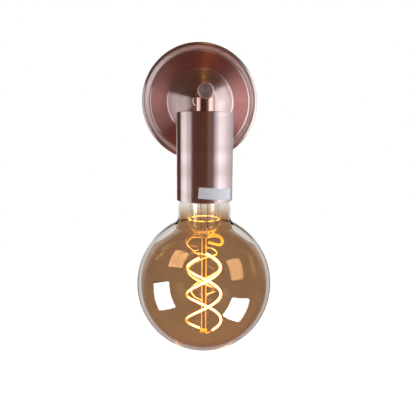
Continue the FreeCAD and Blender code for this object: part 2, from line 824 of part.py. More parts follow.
turned_on_head(
    "socket_cap",
    [
        (nipple_fit_radius, -socket_cap_top),
        (nipple_fit_radius, -nipple_bottom),
        (socket_boss_radius, -nipple_bottom),
        (socket_boss_radius, -(socket_cap_top + socket_cap_roof)),
        (socket_cap_inner, -(socket_cap_top + socket_cap_roof)),
        (socket_cap_inner, -socket_split),
        (socket_radius, -socket_split),
        (socket_radius, -socket_cap_top),
    ],
)
socket_body = turned_on_head(
    "socket_body",
    [
        (0, -socket_split),
        (0, -pit_ceiling),
        (contact_pit_radius, -pit_ceiling),
        (contact_pit_radius, -socket_ceiling),
        (socket_bore_radius, -socket_ceiling),
        (socket_bore_radius, -socket_bottom),
        (socket_radius, -socket_bottom),
        (socket_radius, -socket_split),
        (socket_cap_inner - socket_fit, -socket_split),
        (socket_cap_inner - socket_fit, socket_spigot - socket_split),
        (socket_cap_inner - socket_fit - socket_spigot_wall, socket_spigot - socket_split),
        (socket_cap_inner - socket_fit - socket_spigot_wall, -socket_split),
    ],
)
rivet_hole_sketch = sketch(socket_body, "XY_Plane")
for rivet_x in (live_rivet_x, neutral_rivet_x):
    circle(rivet_hole_sketch, rivet_radius + thread_fit, rivet_x, 0)
rivet_holes = socket_body.newObject("PartDesign::Pocket", "RivetHoles")
rivet_holes.Profile = rivet_hole_sketch
rivet_holes.Type = "ThroughAll"
rivet_holes.SideType = "Symmetric"

shell_inner = shell_radius - shell_sheet
shell_lip = socket_ceiling + shell_sheet
screw_shell = turned_on_head(
    "screw_shell",
    [
        (shell_lip_radius, -socket_ceiling),
        (shell_lip_radius, -shell_lip),
        (shell_inner, -shell_lip),
        (shell_inner, -(socket_ceiling + shell_height)),
        (shell_radius, -(socket_ceiling + shell_height)),
        (shell_radius, -socket_ceiling),
    ],
)
shell_hole_sketch = sketch(screw_shell, "XY_Plane")
circle(shell_hole_sketch, rivet_radius + thread_fit, neutral_rivet_x, 0)
shell_hole = screw_shell.newObject("PartDesign::Pocket", "RivetHole")
shell_hole.Profile = shell_hole_sketch
shell_hole.Type = "ThroughAll"
shell_hole.SideType = "Symmetric"

# Centre contact: a bent brass tongue, riveted in the pit of the ceramic, that the lamp's tip presses.
tongue_width = size("tongue_width", 5.0)
tongue_sheet = size("tongue_sheet", 0.5)
tongue_foot = size("tongue_foot", 3.4)
tongue_reach = size("tongue_reach", 9.6)
tip_drop = size("tip_drop", 41.5)

tongue_start = live_rivet_x - tongue_foot / 2
tongue_bottom = tip_drop - face_gap
tongue_foot_plate = block(
    tongue_foot + tongue_sheet,
    tongue_width,
    tongue_sheet,
    tongue_start,
    -reach - tongue_width / 2,
    -(pit_ceiling + tongue_sheet),
)
tongue_riser = block(
    tongue_sheet,
    tongue_width,
    tongue_bottom - pit_ceiling,
    tongue_start + tongue_foot,
    -reach - tongue_width / 2,
    -tongue_bottom,
)
tongue_strip = block(
    tongue_reach - tongue_foot,
    tongue_width,
    tongue_sheet,
    tongue_start + tongue_foot,
    -reach - tongue_width / 2,
    -tongue_bottom,
)
tongue_hole = rod(rivet_radius + thread_fit, tongue_sheet, live_rivet_x, -reach, -(pit_ceiling + tongue_sheet))
node(cut(joined(tongue_foot_plate, tongue_riser, tongue_strip), tongue_hole), "centre_contact")

# Contact rivets: brass rivets that hold the tongue and the shell and carry the current up to the terminals.
rivet_head = size("rivet_head", 0.5)
rivet_head_radius = size("rivet_head_radius", 1.6)

live_rivet_bottom = pit_ceiling + tongue_sheet
neutral_rivet_bottom = shell_lip
rivets = []
for rivet_x, rivet_bottom in ((live_rivet_x, live_rivet_bottom), (neutral_rivet_x, neutral_rivet_bottom)):
    shank = rod(rivet_radius, rivet_bottom - socket_split, rivet_x, -reach, -rivet_bottom)
    head = rod(rivet_head_radius, rivet_head, rivet_x, -reach, -(rivet_bottom + rivet_head))
    rivets.append(joined(shank, head))
node(group(*rivets), "contact_rivets")

# Socket terminals: a brass block over each rivet, with a hole for the lead and a clamp screw from above.
post_width = size("post_width", 5.0)
post_height = size("post_height", 5.4)
post_offset = size("post_offset", 9.4)
post_hole_rise = size("post_hole_rise", 2.0)
post_hole_depth = size("post_hole_depth", 2.0)
post_screw_radius = size("post_screw_radius", 1.1)
post_screw_head_radius = size("post_screw_head_radius", 1.9)
post_screw_head = size("post_screw_head", 1.0)

post_top = socket_split - post_height
post_hole_drop = socket_split - post_hole_rise
post_screw_tip = post_hole_drop - lead_radius - thread_fit
posts = []
post_screws = []
for side in (-1, 1):
    post_x = side * post_offset
    post = block(
        post_width, post_width, post_height, post_x - post_width / 2, -reach - post_width / 2, -socket_split
    )
    hole_start = post_x - post_width / 2 if side == 1 else post_x + post_width / 2 - post_hole_depth
    lead_hole = rod(lead_radius + thread_fit, post_hole_depth, hole_start, -reach, -post_hole_drop, along_x)
    screw_x = side * (post_offset - post_width / 2 + post_screw_radius + thread_fit * 2)
    screw_hole = rod(post_screw_radius + thread_fit, post_hole_drop - post_top, screw_x, -reach, -post_hole_drop)
    posts.append(cut(post, lead_hole, screw_hole))
    shank = rod(post_screw_radius, post_screw_tip - post_top, screw_x, -reach, -post_screw_tip)
    head = rod(post_screw_head_radius, post_screw_head, screw_x, -reach, -post_top)
    post_screws.append(joined(shank, head))
node(group(*posts), "socket_terminals")
node(group(*post_screws), "socket_terminal_screws")

# Rating sticker: a bare foil label on the cup, a little tilted.
sticker_sheet = size("sticker_sheet", 0.15)
sticker_height = size("sticker_height", 7.4)
sticker_width = size("sticker_width", 23.6)
sticker_drop = size("sticker_drop", 66.8)
sticker_side_angle = 22.5
sticker_tilt_angle = 4

tilt_cosine_share = math.cos(math.radians(sticker_tilt_angle))
tilt_sine_share = math.sin(math.radians(sticker_tilt_angle))
sticker_tube = cut(
    rod(cup_radius + sticker_sheet, sticker_height * 2, 0, 0, -sticker_height),
    rod(cup_radius, sticker_height * 2, 0, 0, -sticker_height),
)
sticker_patch = put(
    bind(
        doc.addObject("Part::Box", "Patch"),
        Length=sticker_width,
        Width=cup_radius + sticker_sheet * 2,
        Height=sticker_height,
    ),
    -(sticker_width * tilt_cosine_share + sticker_height * tilt_sine_share) / 2,
    -(cup_radius + sticker_sheet * 2),
    (sticker_width * tilt_sine_share - sticker_height * tilt_cosine_share) / 2,
    Rotation(Vector(0, 1, 0), sticker_tilt_angle),
)
sticker = doc.addObject("Part::Common", "Sticker")
sticker.Base = sticker_tube
sticker.Tool = sticker_patch
node(put(sticker, 0, -reach, -sticker_drop, Rotation(Vector(0, 0, 1), sticker_side_angle)), "rating_sticker")

# Lamp: a clear glass globe with an amber coat inside, a screw cap, a glass mount and two looped LED strips.
globe_radius = size("globe_radius", 47.75)
glass_wall = size("glass_wall", 2.6)
neck_wall = size("neck_wall", 0.9)
neck_radius = size("neck_radius", 18.3)
neck_fillet = size("neck_fillet", 6.0)
shoulder_top = size("shoulder_top", 69.5)
shoulder_bottom = size("shoulder_bottom", 80.0)
neck_straight = size("neck_straight", 4.8)
throat_radius = size("throat_radius", 12.4)
throat_top = size("throat_top", 63.0)

globe_inner = globe_radius - glass_wall
fillet_centre_radius = neck_radius + neck_fillet
fillet_rise = root(
    (globe_radius + neck_fillet) * (globe_radius + neck_fillet) - fillet_centre_radius * fillet_centre_radius
)
fillet_drop = shoulder_bottom + neck_straight
globe_drop = fillet_drop + fillet_rise
inner_fillet = neck_fillet + neck_wall
inner_fillet_rise = root(
    (globe_inner + inner_fillet) * (globe_inner + inner_fillet) - fillet_centre_radius * fillet_centre_radius
)
globe_share = globe_radius / (globe_radius + neck_fillet)
globe_inner_share = globe_inner / (globe_inner + inner_fillet)
shoulder_run = neck_radius - throat_radius
shoulder_fall = shoulder_bottom - shoulder_top
shoulder_radius = (shoulder_run * shoulder_run + shoulder_fall * shoulder_fall) / (shoulder_run * 2)
shoulder_inner_radius = shoulder_radius - neck_wall
shoulder_centre_radius = neck_radius - shoulder_radius
throat_inner = throat_radius - neck_wall
shoulder_inner_rise = root(
    shoulder_inner_radius * shoulder_inner_radius
    - (throat_inner - shoulder_centre_radius) * (throat_inner - shoulder_centre_radius)
)
bulb_glass = turned_on_head(
    "bulb_glass",
    [
        (throat_inner, -throat_top),
        (throat_inner, shoulder_inner_rise - shoulder_bottom),
        (neck_radius - neck_wall, -shoulder_bottom, shoulder_inner_radius, -1),
        (neck_radius - neck_wall, inner_fillet_rise - globe_drop),
        (
            fillet_centre_radius * globe_inner_share,
            inner_fillet_rise * globe_inner_share - globe_drop,
            inner_fillet,
            1,
        ),
        (globe_inner, -globe_drop, globe_inner, -1),
        (0, -(globe_drop + globe_inner), globe_inner, -1),
        (0, -(globe_drop + globe_radius)),
        (globe_radius, -globe_drop, globe_radius, 1),
        (fillet_centre_radius * globe_share, fillet_rise * globe_share - globe_drop, globe_radius, 1),
        (neck_radius, -fillet_drop, neck_fillet, -1),
        (neck_radius, -shoulder_bottom),
        (throat_radius, -shoulder_top, shoulder_radius, 1),
        (throat_radius, -throat_top),
    ],
)

# Lamp cap: a thin metal shell round the throat of the glass, with a flared rim, a glass insulator and a tip.
cap_shell_radius = size("cap_shell_radius", 13.2)
cap_shell_sheet = size("cap_shell_sheet", 0.35)
cap_shell_bottom = size("cap_shell_bottom", 68.5)
cap_flare_height = size("cap_flare_height", 2.0)
cap_flare = size("cap_flare", 0.3)
cap_shell_top = size("cap_shell_top", 45.6)
cap_shell_shoulder = size("cap_shell_shoulder", 2.2)
insulator_radius = size("insulator_radius", 9.0)
insulator_tip_radius = size("insulator_tip_radius", 5.6)
tip_radius = size("tip_radius", 4.4)
tip_height = size("tip_height", 0.9)
tip_crown = size("tip_crown", 0.3)

insulator_top = tip_drop + tip_height
cap_shell_inner = cap_shell_radius - cap_shell_sheet
turned_on_head(
    "lamp_cap_shell",
    [
        (insulator_radius, -cap_shell_top),
        (insulator_radius, -(cap_shell_top + cap_shell_sheet)),
        (cap_shell_inner, -(cap_shell_top + cap_shell_shoulder)),
        (cap_shell_inner, cap_flare_height - cap_shell_bottom),
        (cap_shell_inner + cap_flare, -cap_shell_bottom),
        (cap_shell_radius + cap_flare, -cap_shell_bottom),
        (cap_shell_radius, cap_flare_height - cap_shell_bottom),
        (cap_shell_radius, -(cap_shell_top + cap_shell_shoulder)),
    ],
)
turned_on_head(
    "lamp_insulator",
    [
        (0, -insulator_top),
        (0, -(cap_shell_top + cap_shell_sheet)),
        (insulator_radius, -(cap_shell_top + cap_shell_sheet)),
        (insulator_radius, -cap_shell_top),
        (insulator_tip_radius, -insulator_top),
    ],
)
turned_on_head(
    "lamp_tip_contact",
    [
        (0, -tip_drop),
        (0, -insulator_top),
        (tip_radius, -insulator_top),
        (tip_radius, -(tip_drop + tip_crown)),
        (tip_radius - tip_crown, -tip_drop),
    ],
)

# Driver: a small round board with a capacitor and a coil, cemented in the lamp's cap over the glass throat.
board_radius = size("board_radius", 12.5)
board_sheet = size("board_sheet", 1.2)
board_drop = size("board_drop", 61.2)
capacitor_radius = size("capacitor_radius", 3.2)
capacitor_height = size("capacitor_height", 8.0)
capacitor_offset = size("capacitor_offset", 5.0)
coil_width = size("coil_width", 6.0)
coil_height = size("coil_height", 5.0)

board = rod(board_radius, board_sheet, 0, -reach, -(board_drop + board_sheet))
capacitor = rod(capacitor_radius, capacitor_height, -capacitor_offset, -reach, -board_drop)
coil = block(
    coil_width, coil_width, coil_height, capacitor_offset - coil_width / 2, -reach - coil_width / 2, -board_drop
)
node(joined(board, capacitor, coil), "driver_board")

# Glass mount: a tube fused in the throat, closed below in a pinched foot that holds the wires.
mount_clearance = size("mount_clearance", 0.3)
mount_wall = size("mount_wall", 0.8)
mount_round = size("mount_round", 7.0)
mount_bottom = size("mount_bottom", 97.0)
foot_radius = size("foot_radius", 3.0)
foot_length = size("foot_length", 2.5)
rod_radius = size("rod_radius", 0.35)
rod_offset = size("rod_offset", 1.5)
wire_radius = size("wire_radius", 0.3)
wire_offset = size("wire_offset", 2.4)

mount_radius = throat_inner - mount_clearance
mount_straight_bottom = mount_bottom - mount_round
foot_bottom = mount_bottom + foot_length
mount_inner_round = mount_round - mount_wall
turned_on_head(
    "glass_mount",
    [
        (mount_radius - mount_wall, -throat_top),
        (mount_radius - mount_wall, -mount_straight_bottom),
        (mount_radius - mount_round, mount_wall - mount_bottom, mount_inner_round, -1),
        (0, mount_wall - mount_bottom),
        (0, -foot_bottom),
        (foot_radius, -foot_bottom),
        (foot_radius, -mount_bottom),
        (mount_radius - mount_round, -mount_bottom),
        (mount_radius, -mount_straight_bottom, mount_round, 1),
        (mount_radius, -throat_top),
    ],
)
lead_ins = [
    rod(
        wire_radius,
        mount_bottom - mount_wall - board_drop - board_sheet,
        side * wire_offset,
        -reach,
        mount_wall - mount_bottom,
    )
    for side in (-1, 1)
]
node(group(*lead_ins), "lead_in_wires")

# Support rods and clip: two wires down the middle, with a clip at the foot of the strips.
clip_top = size("clip_top", 170.8)
clip_height = size("clip_height", 2.0)
clip_half_width = size("clip_half_width", 2.6)
clip_half_depth = size("clip_half_depth", 1.1)

support_rods = [
    rod(rod_radius, clip_top - foot_bottom, side * rod_offset, -reach, -clip_top) for side in (-1, 1)
]
node(group(*support_rods), "support_rods")
node(
    block(
        clip_half_width * 2,
        clip_half_depth * 2,
        clip_height,
        -clip_half_width,
        -reach - clip_half_depth,
        -(clip_top + clip_height),
    ),
    "filament_clip",
)

# LED strips: two round silicone-covered strips, looped past each other one and a half times round the rods.
strip_radius = size("strip_radius", 0.9)
strip_start_drop = size("strip_start_drop", 112.4)
strip_half_turn = size("strip_half_turn", 20.2)
strip_top_width = size("strip_top_width", 11.9)
strip_bottom_width = size("strip_bottom_width", 13.2)
strip_depth = size("strip_depth", 4.0)
bend_share = 0.45


def strip_place(side, angle):
    """The middle of a strip after a turn of so many radians, and its direction there."""
    share = angle / (3 * math.pi)
    widening = strip_bottom_width.value - strip_top_width.value
    width = strip_top_width.value + widening * share
    fall = strip_half_turn.value / math.pi
    place = Vector(
        side * width * math.sin(angle),
        side * strip_depth.value * math.cos(angle) - reach.value,
        -strip_start_drop.value - fall * angle,
    )
    slope = widening / (3 * math.pi)
    course = Vector(
        side * (width * math.cos(angle) + slope * math.sin(angle)),
        -side * strip_depth.value * math.sin(angle),
        -fall,
    )
    return place, course.normalize()


def tangent_arc(start, course, end):
    """The arc from start to end that leaves along course."""
    across = end - start
    chord = Vector(across).normalize()
    lean = course - chord * course.dot(chord)
    half_turn = course.getAngle(chord)
    bulge = Vector(lean).normalize() * (across.Length / 2 * math.tan(half_turn / 2))
    return Part.Arc(start, (start + end) / 2 + bulge, end).toShape()


def biarc(start, course, end, end_course):
    """Two arcs that join two places and keep the direction at each."""
    across = end - start
    both = course + end_course
    spread = 2 * (1 - course.dot(end_course))
    pull = across.dot(both)
    reach_out = (math.sqrt(pull**2 + spread * across.dot(across)) - pull) / spread
    middle = (start + course * reach_out + end - end_course * reach_out) / 2
    back_arc = tangent_arc(end, end_course * -1, middle)
    return [tangent_arc(start, course, middle), back_arc.reversed()]


def tube_along(path, start, course, radius):
    section = Part.Wire(Part.Circle(start, course, radius).toShape())
    return path.makePipeShell([section], True, False)


def self_gap(path, radius):
    """The least space between two turns of a tube, measured on points along its middle."""
    points = path.discretize(240)
    step = path.Length / (len(points) - 1)
    apart = math.ceil(6 * radius / step)
    return min(
        (late - early).Length - 2 * radius
        for place, early in enumerate(points)
        for late in points[place + apart :]
    )


def strip(label, side, first_angle, last_angle):
    quarters = round((last_angle - first_angle) / (math.pi / 2))
    angles = [first_angle + (last_angle - first_angle) * step / quarters for step in range(quarters + 1)]
    stops = [strip_place(side, angle) for angle in angles]
    edges = []
    for (start, course), (end, end_course) in zip(stops, stops[1:]):
        edges += biarc(start, course, end, end_course)
    path = Part.Wire(Part.__sortEdges__(edges))
    item = doc.addObject("Part::Feature", "Strip")
    item.Shape = tube_along(path, *stops[0], strip_radius.value)
    print(label, "least gap to itself", round(self_gap(path, strip_radius.value), 2))
    node(item, label)
    return stops[0], stops[-1]


def wire(places, radius):
    """A wire along straight runs, with an arc at each corner."""
    points = [Vector(*[number(value) for value in place]) for place in places]
    edges = []
    start = points[0]
    for before, corner, after in zip(points, points[1:], points[2:]):
        into = (before - corner).normalize()
        out_of = (after - corner).normalize()
        half_turn = (math.pi - into.getAngle(out_of)) / 2
        setback = bend_share * min((before - corner).Length, (after - corner).Length)
        bend_start = corner + into * setback
        bend_end = corner + out_of * setback
        away = (into + out_of).normalize()
        arc_radius = setback / math.tan(half_turn)
        middle = corner + away * (arc_radius / math.cos(half_turn) - arc_radius)
        edges.append(Part.LineSegment(start, bend_start).toShape())
        edges.append(Part.Arc(bend_start, middle, bend_end).toShape())
        start = bend_end
    edges.append(Part.LineSegment(start, points[-1]).toShape())
    path = Part.Wire(edges)
    item = doc.addObject("Part::Feature", "Wire")
    item.Shape = tube_along(path, points[0], points[1] - points[0], radius.value)
    swept = item.Shape.Volume / (math.pi * radius.value**2)
    print("wire of length", round(path.Length, 1), "and volume over section", round(swept, 1))
    return item


left_head, left_foot = strip("led_strip_left", -1, 0.3, 3 * math.pi - 0.25)
right_head, right_foot = strip("led_strip_right", 1, 0.12, 3 * math.pi - 0.5)

# Strip wires: bare wires that curl from the glass foot to the head of each strip, and run from each foot to the clip.
hook_entry = size("hook_entry", 1.4)
hook_lead = size("hook_lead", 2.0)
hook_offset = size("hook_offset", 2.45)
hook_shares = ((0.72, 0.15, 0.02), (0.97, 0.4, 0.31), (0.75, 0.7, 0.62), (0.25, 1.0, 0.75))
tail_share = 0.7

hooks = []
tails = []
for side, (head, course), (foot, foot_course) in ((-1, left_head, left_foot), (1, right_head, right_foot)):
    hook_start = foot_bottom.value + hook_entry.value
    hook_fall = -head.z - hook_start
    curl = [
        (
            side * across * strip_top_width.value,
            outward * (head.y + reach.value) - reach.value,
            -hook_start - down * hook_fall,
        )
        for across, outward, down in hook_shares
    ]
    last_corner = head - course * hook_lead.value
    hooks.append(
        wire(
            [
                (side * hook_offset, -reach, -foot_bottom),
                (side * hook_offset, -reach, -hook_start),
                *curl,
                tuple(last_corner),
                tuple(head),
            ],
            wire_radius,
        )
    )
    run = (side * tail_share * clip_half_width.value - foot.x) / foot_course.x
    corner = foot + foot_course * run
    clip_face = side * -clip_half_depth - reach
    tails.append(wire([tuple(foot), tuple(corner), (corner.x, clip_face, corner.z)], wire_radius))
node(group(*hooks), "strip_head_wires")
node(group(*tails), "strip_foot_wires")

# Leads: insulated wires with round bends, from the terminal block through the arm to the swivel, and from the
# swivel through the knuckle and the nipple to the socket's terminals. They meet on the swivel's axis.
lead_offset = size("lead_offset", 0.85)
lead_entry = size("lead_entry", 1.4)
lead_rise = size("lead_rise", 4.6)
lead_lift = size("lead_lift", 4.0)
earth_lead_rise = size("earth_lead_rise", 3.4)
knuckle_lead_run = size("knuckle_lead_run", 2.4)
lead_spread = size("lead_spread", 2.2)

lead_start = terminal_top - lead_entry
lead_corner = terminal_top + lead_rise
for label, side, pole_x in (("live_lead_arm", -1, -pole_spacing), ("neutral_lead_arm", 1, 0)):
    arm_lead = wire(
        [
            (pole_x, -pole_depth, lead_start),
            (pole_x, -pole_depth, lead_corner),
            (side * lead_offset, -(pole_depth + lead_lift), 0),
            (side * lead_offset, -pivot_front, 0),
        ],
        lead_radius,
    )
    node(arm_lead, label)
earth_lead = wire(
    [
        (pole_spacing, -pole_depth, lead_start),
        (pole_spacing, -pole_depth, terminal_top + earth_lead_rise),
        (earth_x, -crimp_depth, terminal_top),
        (earth_x, -crimp_depth, crimp_top),
    ],
    lead_radius,
)
node(earth_lead, "earth_lead")
for label, side in (("live_lead_head", -1), ("neutral_lead_head", 1)):
    head_lead = wire(
        [
            (side * lead_offset, -pivot_front, 0),
            (side * lead_offset, -(pivot_front + knuckle_lead_run), 0),
            (side * lead_offset, -(pivot_front + knuckle_lead_run), -nipple_bottom),
            (side * lead_spread, -reach, -post_hole_drop),
            (side * (post_offset - post_width / 2 + post_hole_depth), -reach, -post_hole_drop),
        ],
        lead_radius,
    )
    node(head_lead, label)

doc.recompute()
faults = []
for item in doc.Objects:
    if "Invalid" in item.State or "Error" in item.State:
        faults.append(f"{item.Label}: {item.State}")
for item in nodes:
    if item.Shape.isNull() or not item.Shape.isValid() or not item.Shape.Solids:
        faults.append(f"{item.Label}: no valid solid")
if faults:
    raise RuntimeError("; ".join(faults))

os.makedirs("parts", exist_ok=True)
for item in nodes:
    item.Shape.exportStep(f"parts/{item.Label}.step")
print(len(nodes), "nodes written")
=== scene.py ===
import math

import bmesh
import bpy
from mathutils import Matrix, Vector


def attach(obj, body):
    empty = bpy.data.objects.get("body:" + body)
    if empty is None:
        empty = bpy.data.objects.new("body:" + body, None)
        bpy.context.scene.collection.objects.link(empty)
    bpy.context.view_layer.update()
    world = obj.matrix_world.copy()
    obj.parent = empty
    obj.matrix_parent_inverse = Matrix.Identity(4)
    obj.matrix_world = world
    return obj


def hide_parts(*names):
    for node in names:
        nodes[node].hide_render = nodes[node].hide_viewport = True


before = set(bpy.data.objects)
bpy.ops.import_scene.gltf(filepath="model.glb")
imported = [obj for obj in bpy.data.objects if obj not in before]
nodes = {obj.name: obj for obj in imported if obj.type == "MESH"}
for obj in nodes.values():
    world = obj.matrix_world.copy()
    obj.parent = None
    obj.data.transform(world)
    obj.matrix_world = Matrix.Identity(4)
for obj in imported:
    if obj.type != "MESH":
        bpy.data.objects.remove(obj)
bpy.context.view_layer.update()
scene = bpy.context.scene
scene.view_settings.view_transform = "Standard"

# Camera: a normal lens 37 cm from the wall, a little below the arm and to its left, tipped down. Its place
# and turn come from the outlines of the plate, the cup and the globe. The frame is square.
camera_place = Vector((-0.01529990, -0.37110612, -0.03094325))
camera_yaw, camera_pitch, camera_roll = 0.0629530, 0.1681065, 0.00842547
frame_px, focal_px, sensor_mm = 416, 408.58476, 36
ahead = Vector((
    math.sin(camera_yaw) * math.cos(camera_pitch),
    math.cos(camera_yaw) * math.cos(camera_pitch),
    -math.sin(camera_pitch),
))
level = Vector((math.cos(camera_yaw), -math.sin(camera_yaw), 0))
upright = level.cross(ahead)
across = level * math.cos(camera_roll) + upright * math.sin(camera_roll)
upward = upright * math.cos(camera_roll) - level * math.sin(camera_roll)
camera_data = bpy.data.cameras.new("camera")
camera_data.sensor_width = sensor_mm
camera_data.lens = focal_px / frame_px * sensor_mm
camera_data.clip_start = 0.01
camera = bpy.data.objects.new("camera", camera_data)
turned = Matrix((across, upward, -ahead)).transposed().to_4x4()
camera.matrix_world = Matrix.Translation(camera_place) @ turned
scene.collection.objects.link(camera)
scene.camera = camera


# Studio room: plain white to the eye and through glass. Metal mirrors a dim, warm room, darkest at the
# height of the lamp and above, with white only straight behind it. Matt surfaces get an even pale light
# from all sides.
def add(tree, kind, **settings):
    """Adds a node. A setting is an attribute, or, under inputs, a value or a link for each socket."""
    node = tree.nodes.new(kind)
    for name, value in settings.items():
        if name == "inputs":
            for socket, put in value.items():
                if isinstance(put, bpy.types.NodeSocket):
                    tree.links.new(put, node.inputs[socket])
                else:
                    node.inputs[socket].default_value = put
        else:
            setattr(node, name, value)
    return node


def tone(code):
    """The linear colour of an sRGB hex code."""
    shares = [int(code[place : place + 2], 16) / 255 for place in (1, 3, 5)]
    return (*[share / 12.92 if share <= 0.04045 else ((share + 0.055) / 1.055) ** 2.4 for share in shares], 1)


def empty_material(name):
    """A material that has no nodes yet, and its tree."""
    material = bpy.data.materials.new(name)
    material.use_nodes = True
    material.node_tree.nodes.clear()
    return material, material.node_tree


white = tone("#FFFFFF")
even_light_strength = 0.6
room = bpy.data.worlds.new("studio_room")
scene.world = room
room.use_nodes = True
tree = room.node_tree
tree.nodes.clear()
ray = add(tree, "ShaderNodeLightPath").outputs
sky = add(tree, "ShaderNodeTexCoord").outputs["Generated"]
toward = add(tree, "ShaderNodeSeparateXYZ", inputs={0: sky})
behind = add(tree, "ShaderNodeMapRange", interpolation_type="SMOOTHSTEP", inputs={
    0: toward.outputs["Y"], 1: 0.88, 2: 0.97, 3: 0.0, 4: 1.0,
})
height = add(tree, "ShaderNodeMapRange", inputs={0: toward.outputs["Z"], 1: -1.0, 2: 1.0, 3: 0.0, 4: 1.0})
room_colours = add(tree, "ShaderNodeValToRGB", inputs={0: height.outputs[0]})
stops = room_colours.color_ramp.elements
stops[0].position, stops[0].color = 0.0, tone("#96593C")
stops[1].position, stops[1].color = 1.0, tone("#5C3C22")
for position, colour in ((0.38, "#5C4038"), (0.5, "#46312B"), (0.72, "#46312A")):
    stops.new(position).color = tone(colour)
dim_room = add(tree, "ShaderNodeBackground", inputs={0: room_colours.outputs[0], 1: 1.0})
white_back = add(tree, "ShaderNodeBackground", inputs={0: white, 1: 1.0})
even_light = add(tree, "ShaderNodeBackground", inputs={0: white, 1: even_light_strength})
mirrored = add(tree, "ShaderNodeMixShader", inputs={
    0: behind.outputs[0], 1: dim_room.outputs[0], 2: white_back.outputs[0],
})
matt = add(tree, "ShaderNodeMixShader", inputs={
    0: ray["Is Glossy Ray"], 1: even_light.outputs[0], 2: mirrored.outputs[0],
})
seen = add(tree, "ShaderNodeMath", operation="MAXIMUM", inputs={
    0: ray["Is Camera Ray"], 1: ray["Is Transmission Ray"],
})
through_glass = add(tree, "ShaderNodeMath", operation="GREATER_THAN", inputs={
    0: ray["Transmission Depth"], 1: 0.5,
})
seen = add(tree, "ShaderNodeMath", operation="MAXIMUM", inputs={
    0: seen.outputs[0], 1: through_glass.outputs[0],
})
# What the globe's coat throws back to the room's front finds it dim, or a mirrored white room would veil
# the amber.
past_camera = add(tree, "ShaderNodeMapRange", interpolation_type="SMOOTHSTEP", inputs={
    0: toward.outputs["Y"], 1: 0.8, 2: 0.45, 3: 0.0, 4: 0.9,
})
thrown_back = add(tree, "ShaderNodeMath", operation="GREATER_THAN", inputs={0: ray["Glossy Depth"], 1: 0.5})
dimmed = add(tree, "ShaderNodeMath", operation="MULTIPLY", inputs={
    0: past_camera.outputs[0], 1: thrown_back.outputs[0],
})
seen = add(tree, "ShaderNodeMath", operation="SUBTRACT", use_clamp=True, inputs={
    0: seen.outputs[0], 1: dimmed.outputs[0],
})
whole = add(tree, "ShaderNodeMixShader", inputs={
    0: seen.outputs[0], 1: matt.outputs[0], 2: white_back.outputs[0],
})
add(tree, "ShaderNodeOutputWorld", inputs={0: whole.outputs[0]})


# Soft boxes: tall panels of daylight on both sides, whose images are the pale bands on the metal, and a
# narrow warm lamp high up, which is the amber streak on the plate. None lights the globe, and those on the
# left leave out the plate too. Four more light the plate alone, and are named for the part of it that
# mirrors them.
def panel(
    name, azimuth, elevation, distance, width, height, radiance, colour, middle=(0, -0.05, -0.02), roll=0,
):
    """A rectangular lamp that looks at the middle from that direction and shines at that radiance."""
    data = bpy.data.lights.new(name, "AREA")
    data.shape = "RECTANGLE"
    data.size, data.size_y = width, height
    data.energy = radiance * math.pi * width * height
    data.color = tone(colour)[:3]
    lamp = bpy.data.objects.new(name, data)
    turn, rise = math.radians(azimuth), math.radians(elevation)
    out = Vector((math.sin(turn) * math.cos(rise), -math.cos(turn) * math.cos(rise), math.sin(rise)))
    facing = out.to_track_quat("Z", "Y").to_matrix().to_4x4() @ Matrix.Rotation(math.radians(roll), 4, "Z")
    lamp.matrix_world = Matrix.Translation(Vector(middle) + out * distance) @ facing
    scene.collection.objects.link(lamp)
    return lamp


daylight, warm_light = "#E8F4FF", "#FFC25E"
panel_distance = 0.8
left_lamps = []
metal_lamps = [panel("warm_lamp", 15, 55, 0.9, 0.03, 0.5, 4.0, warm_light)]
for azimuth, half_angle, radiance in (
    (-68, 11, 1.0), (-88, 9, 1.6), (-105, 8, 1.35),
    (21, 10, 0.12), (34, 3, 0.5), (43, 6, 1.15), (60, 11, 1.95),
    (80, 9, 1.6), (100, 11, 1.05), (122, 11, 0.7), (142, 9, 0.55),
):
    wide = 2 * panel_distance * math.tan(math.radians(half_angle))
    tall, elevation = (0.95, -11) if azimuth < 0 else (1.0, 4)
    lamp = panel(f"panel_{azimuth}", azimuth, elevation, panel_distance, wide, tall, radiance, daylight)
    (left_lamps if azimuth < 0 else metal_lamps).append(lamp)
plate_lamps = [
    panel(name, azimuth, elevation, panel_distance, wide, tall, radiance, daylight)
    for name, azimuth, elevation, wide, tall, radiance in (
        ("plate_panel", 26, 5, 0.22, 0.26, 2.3), ("left_rim_panel", 64, -4, 0.2, 0.5, 1.0),
        ("left_dome_panel", -88, -6, 0.5, 0.9, 0.65), ("right_rim_panel", -60, -4, 0.3, 0.7, 2.0),
    )
]

# Floor: a wide sheet of pale card well below the lamp. It is white to the eye and through glass and takes
# the lamp's soft shadow, and mirrored rays go through it to the room.
floor_size, floor_drop = 8, 1.2
bpy.ops.mesh.primitive_plane_add(size=floor_size, location=(0, 0, -floor_drop))
floor = bpy.context.object
floor.name = "floor"
card, tree = empty_material("pale_card")
ray = add(tree, "ShaderNodeLightPath").outputs
pale = add(tree, "ShaderNodeBsdfDiffuse", inputs={0: tone("#A79C94")})
lit = add(tree, "ShaderNodeEmission", inputs={0: white, 1: 0.9})
bright = add(tree, "ShaderNodeAddShader", inputs={0: pale.outputs[0], 1: lit.outputs[0]})
seen = add(tree, "ShaderNodeMath", operation="MAXIMUM", inputs={
    0: ray["Is Camera Ray"], 1: ray["Is Transmission Ray"],
})
shown = add(tree, "ShaderNodeMixShader", inputs={
    0: seen.outputs[0], 1: pale.outputs[0], 2: bright.outputs[0],
})
clear = add(tree, "ShaderNodeBsdfTransparent")
passed = add(tree, "ShaderNodeMixShader", inputs={
    0: ray["Is Glossy Ray"], 1: shown.outputs[0], 2: clear.outputs[0],
})
add(tree, "ShaderNodeOutputMaterial", inputs={0: passed.outputs[0]})
floor.data.materials.append(card)

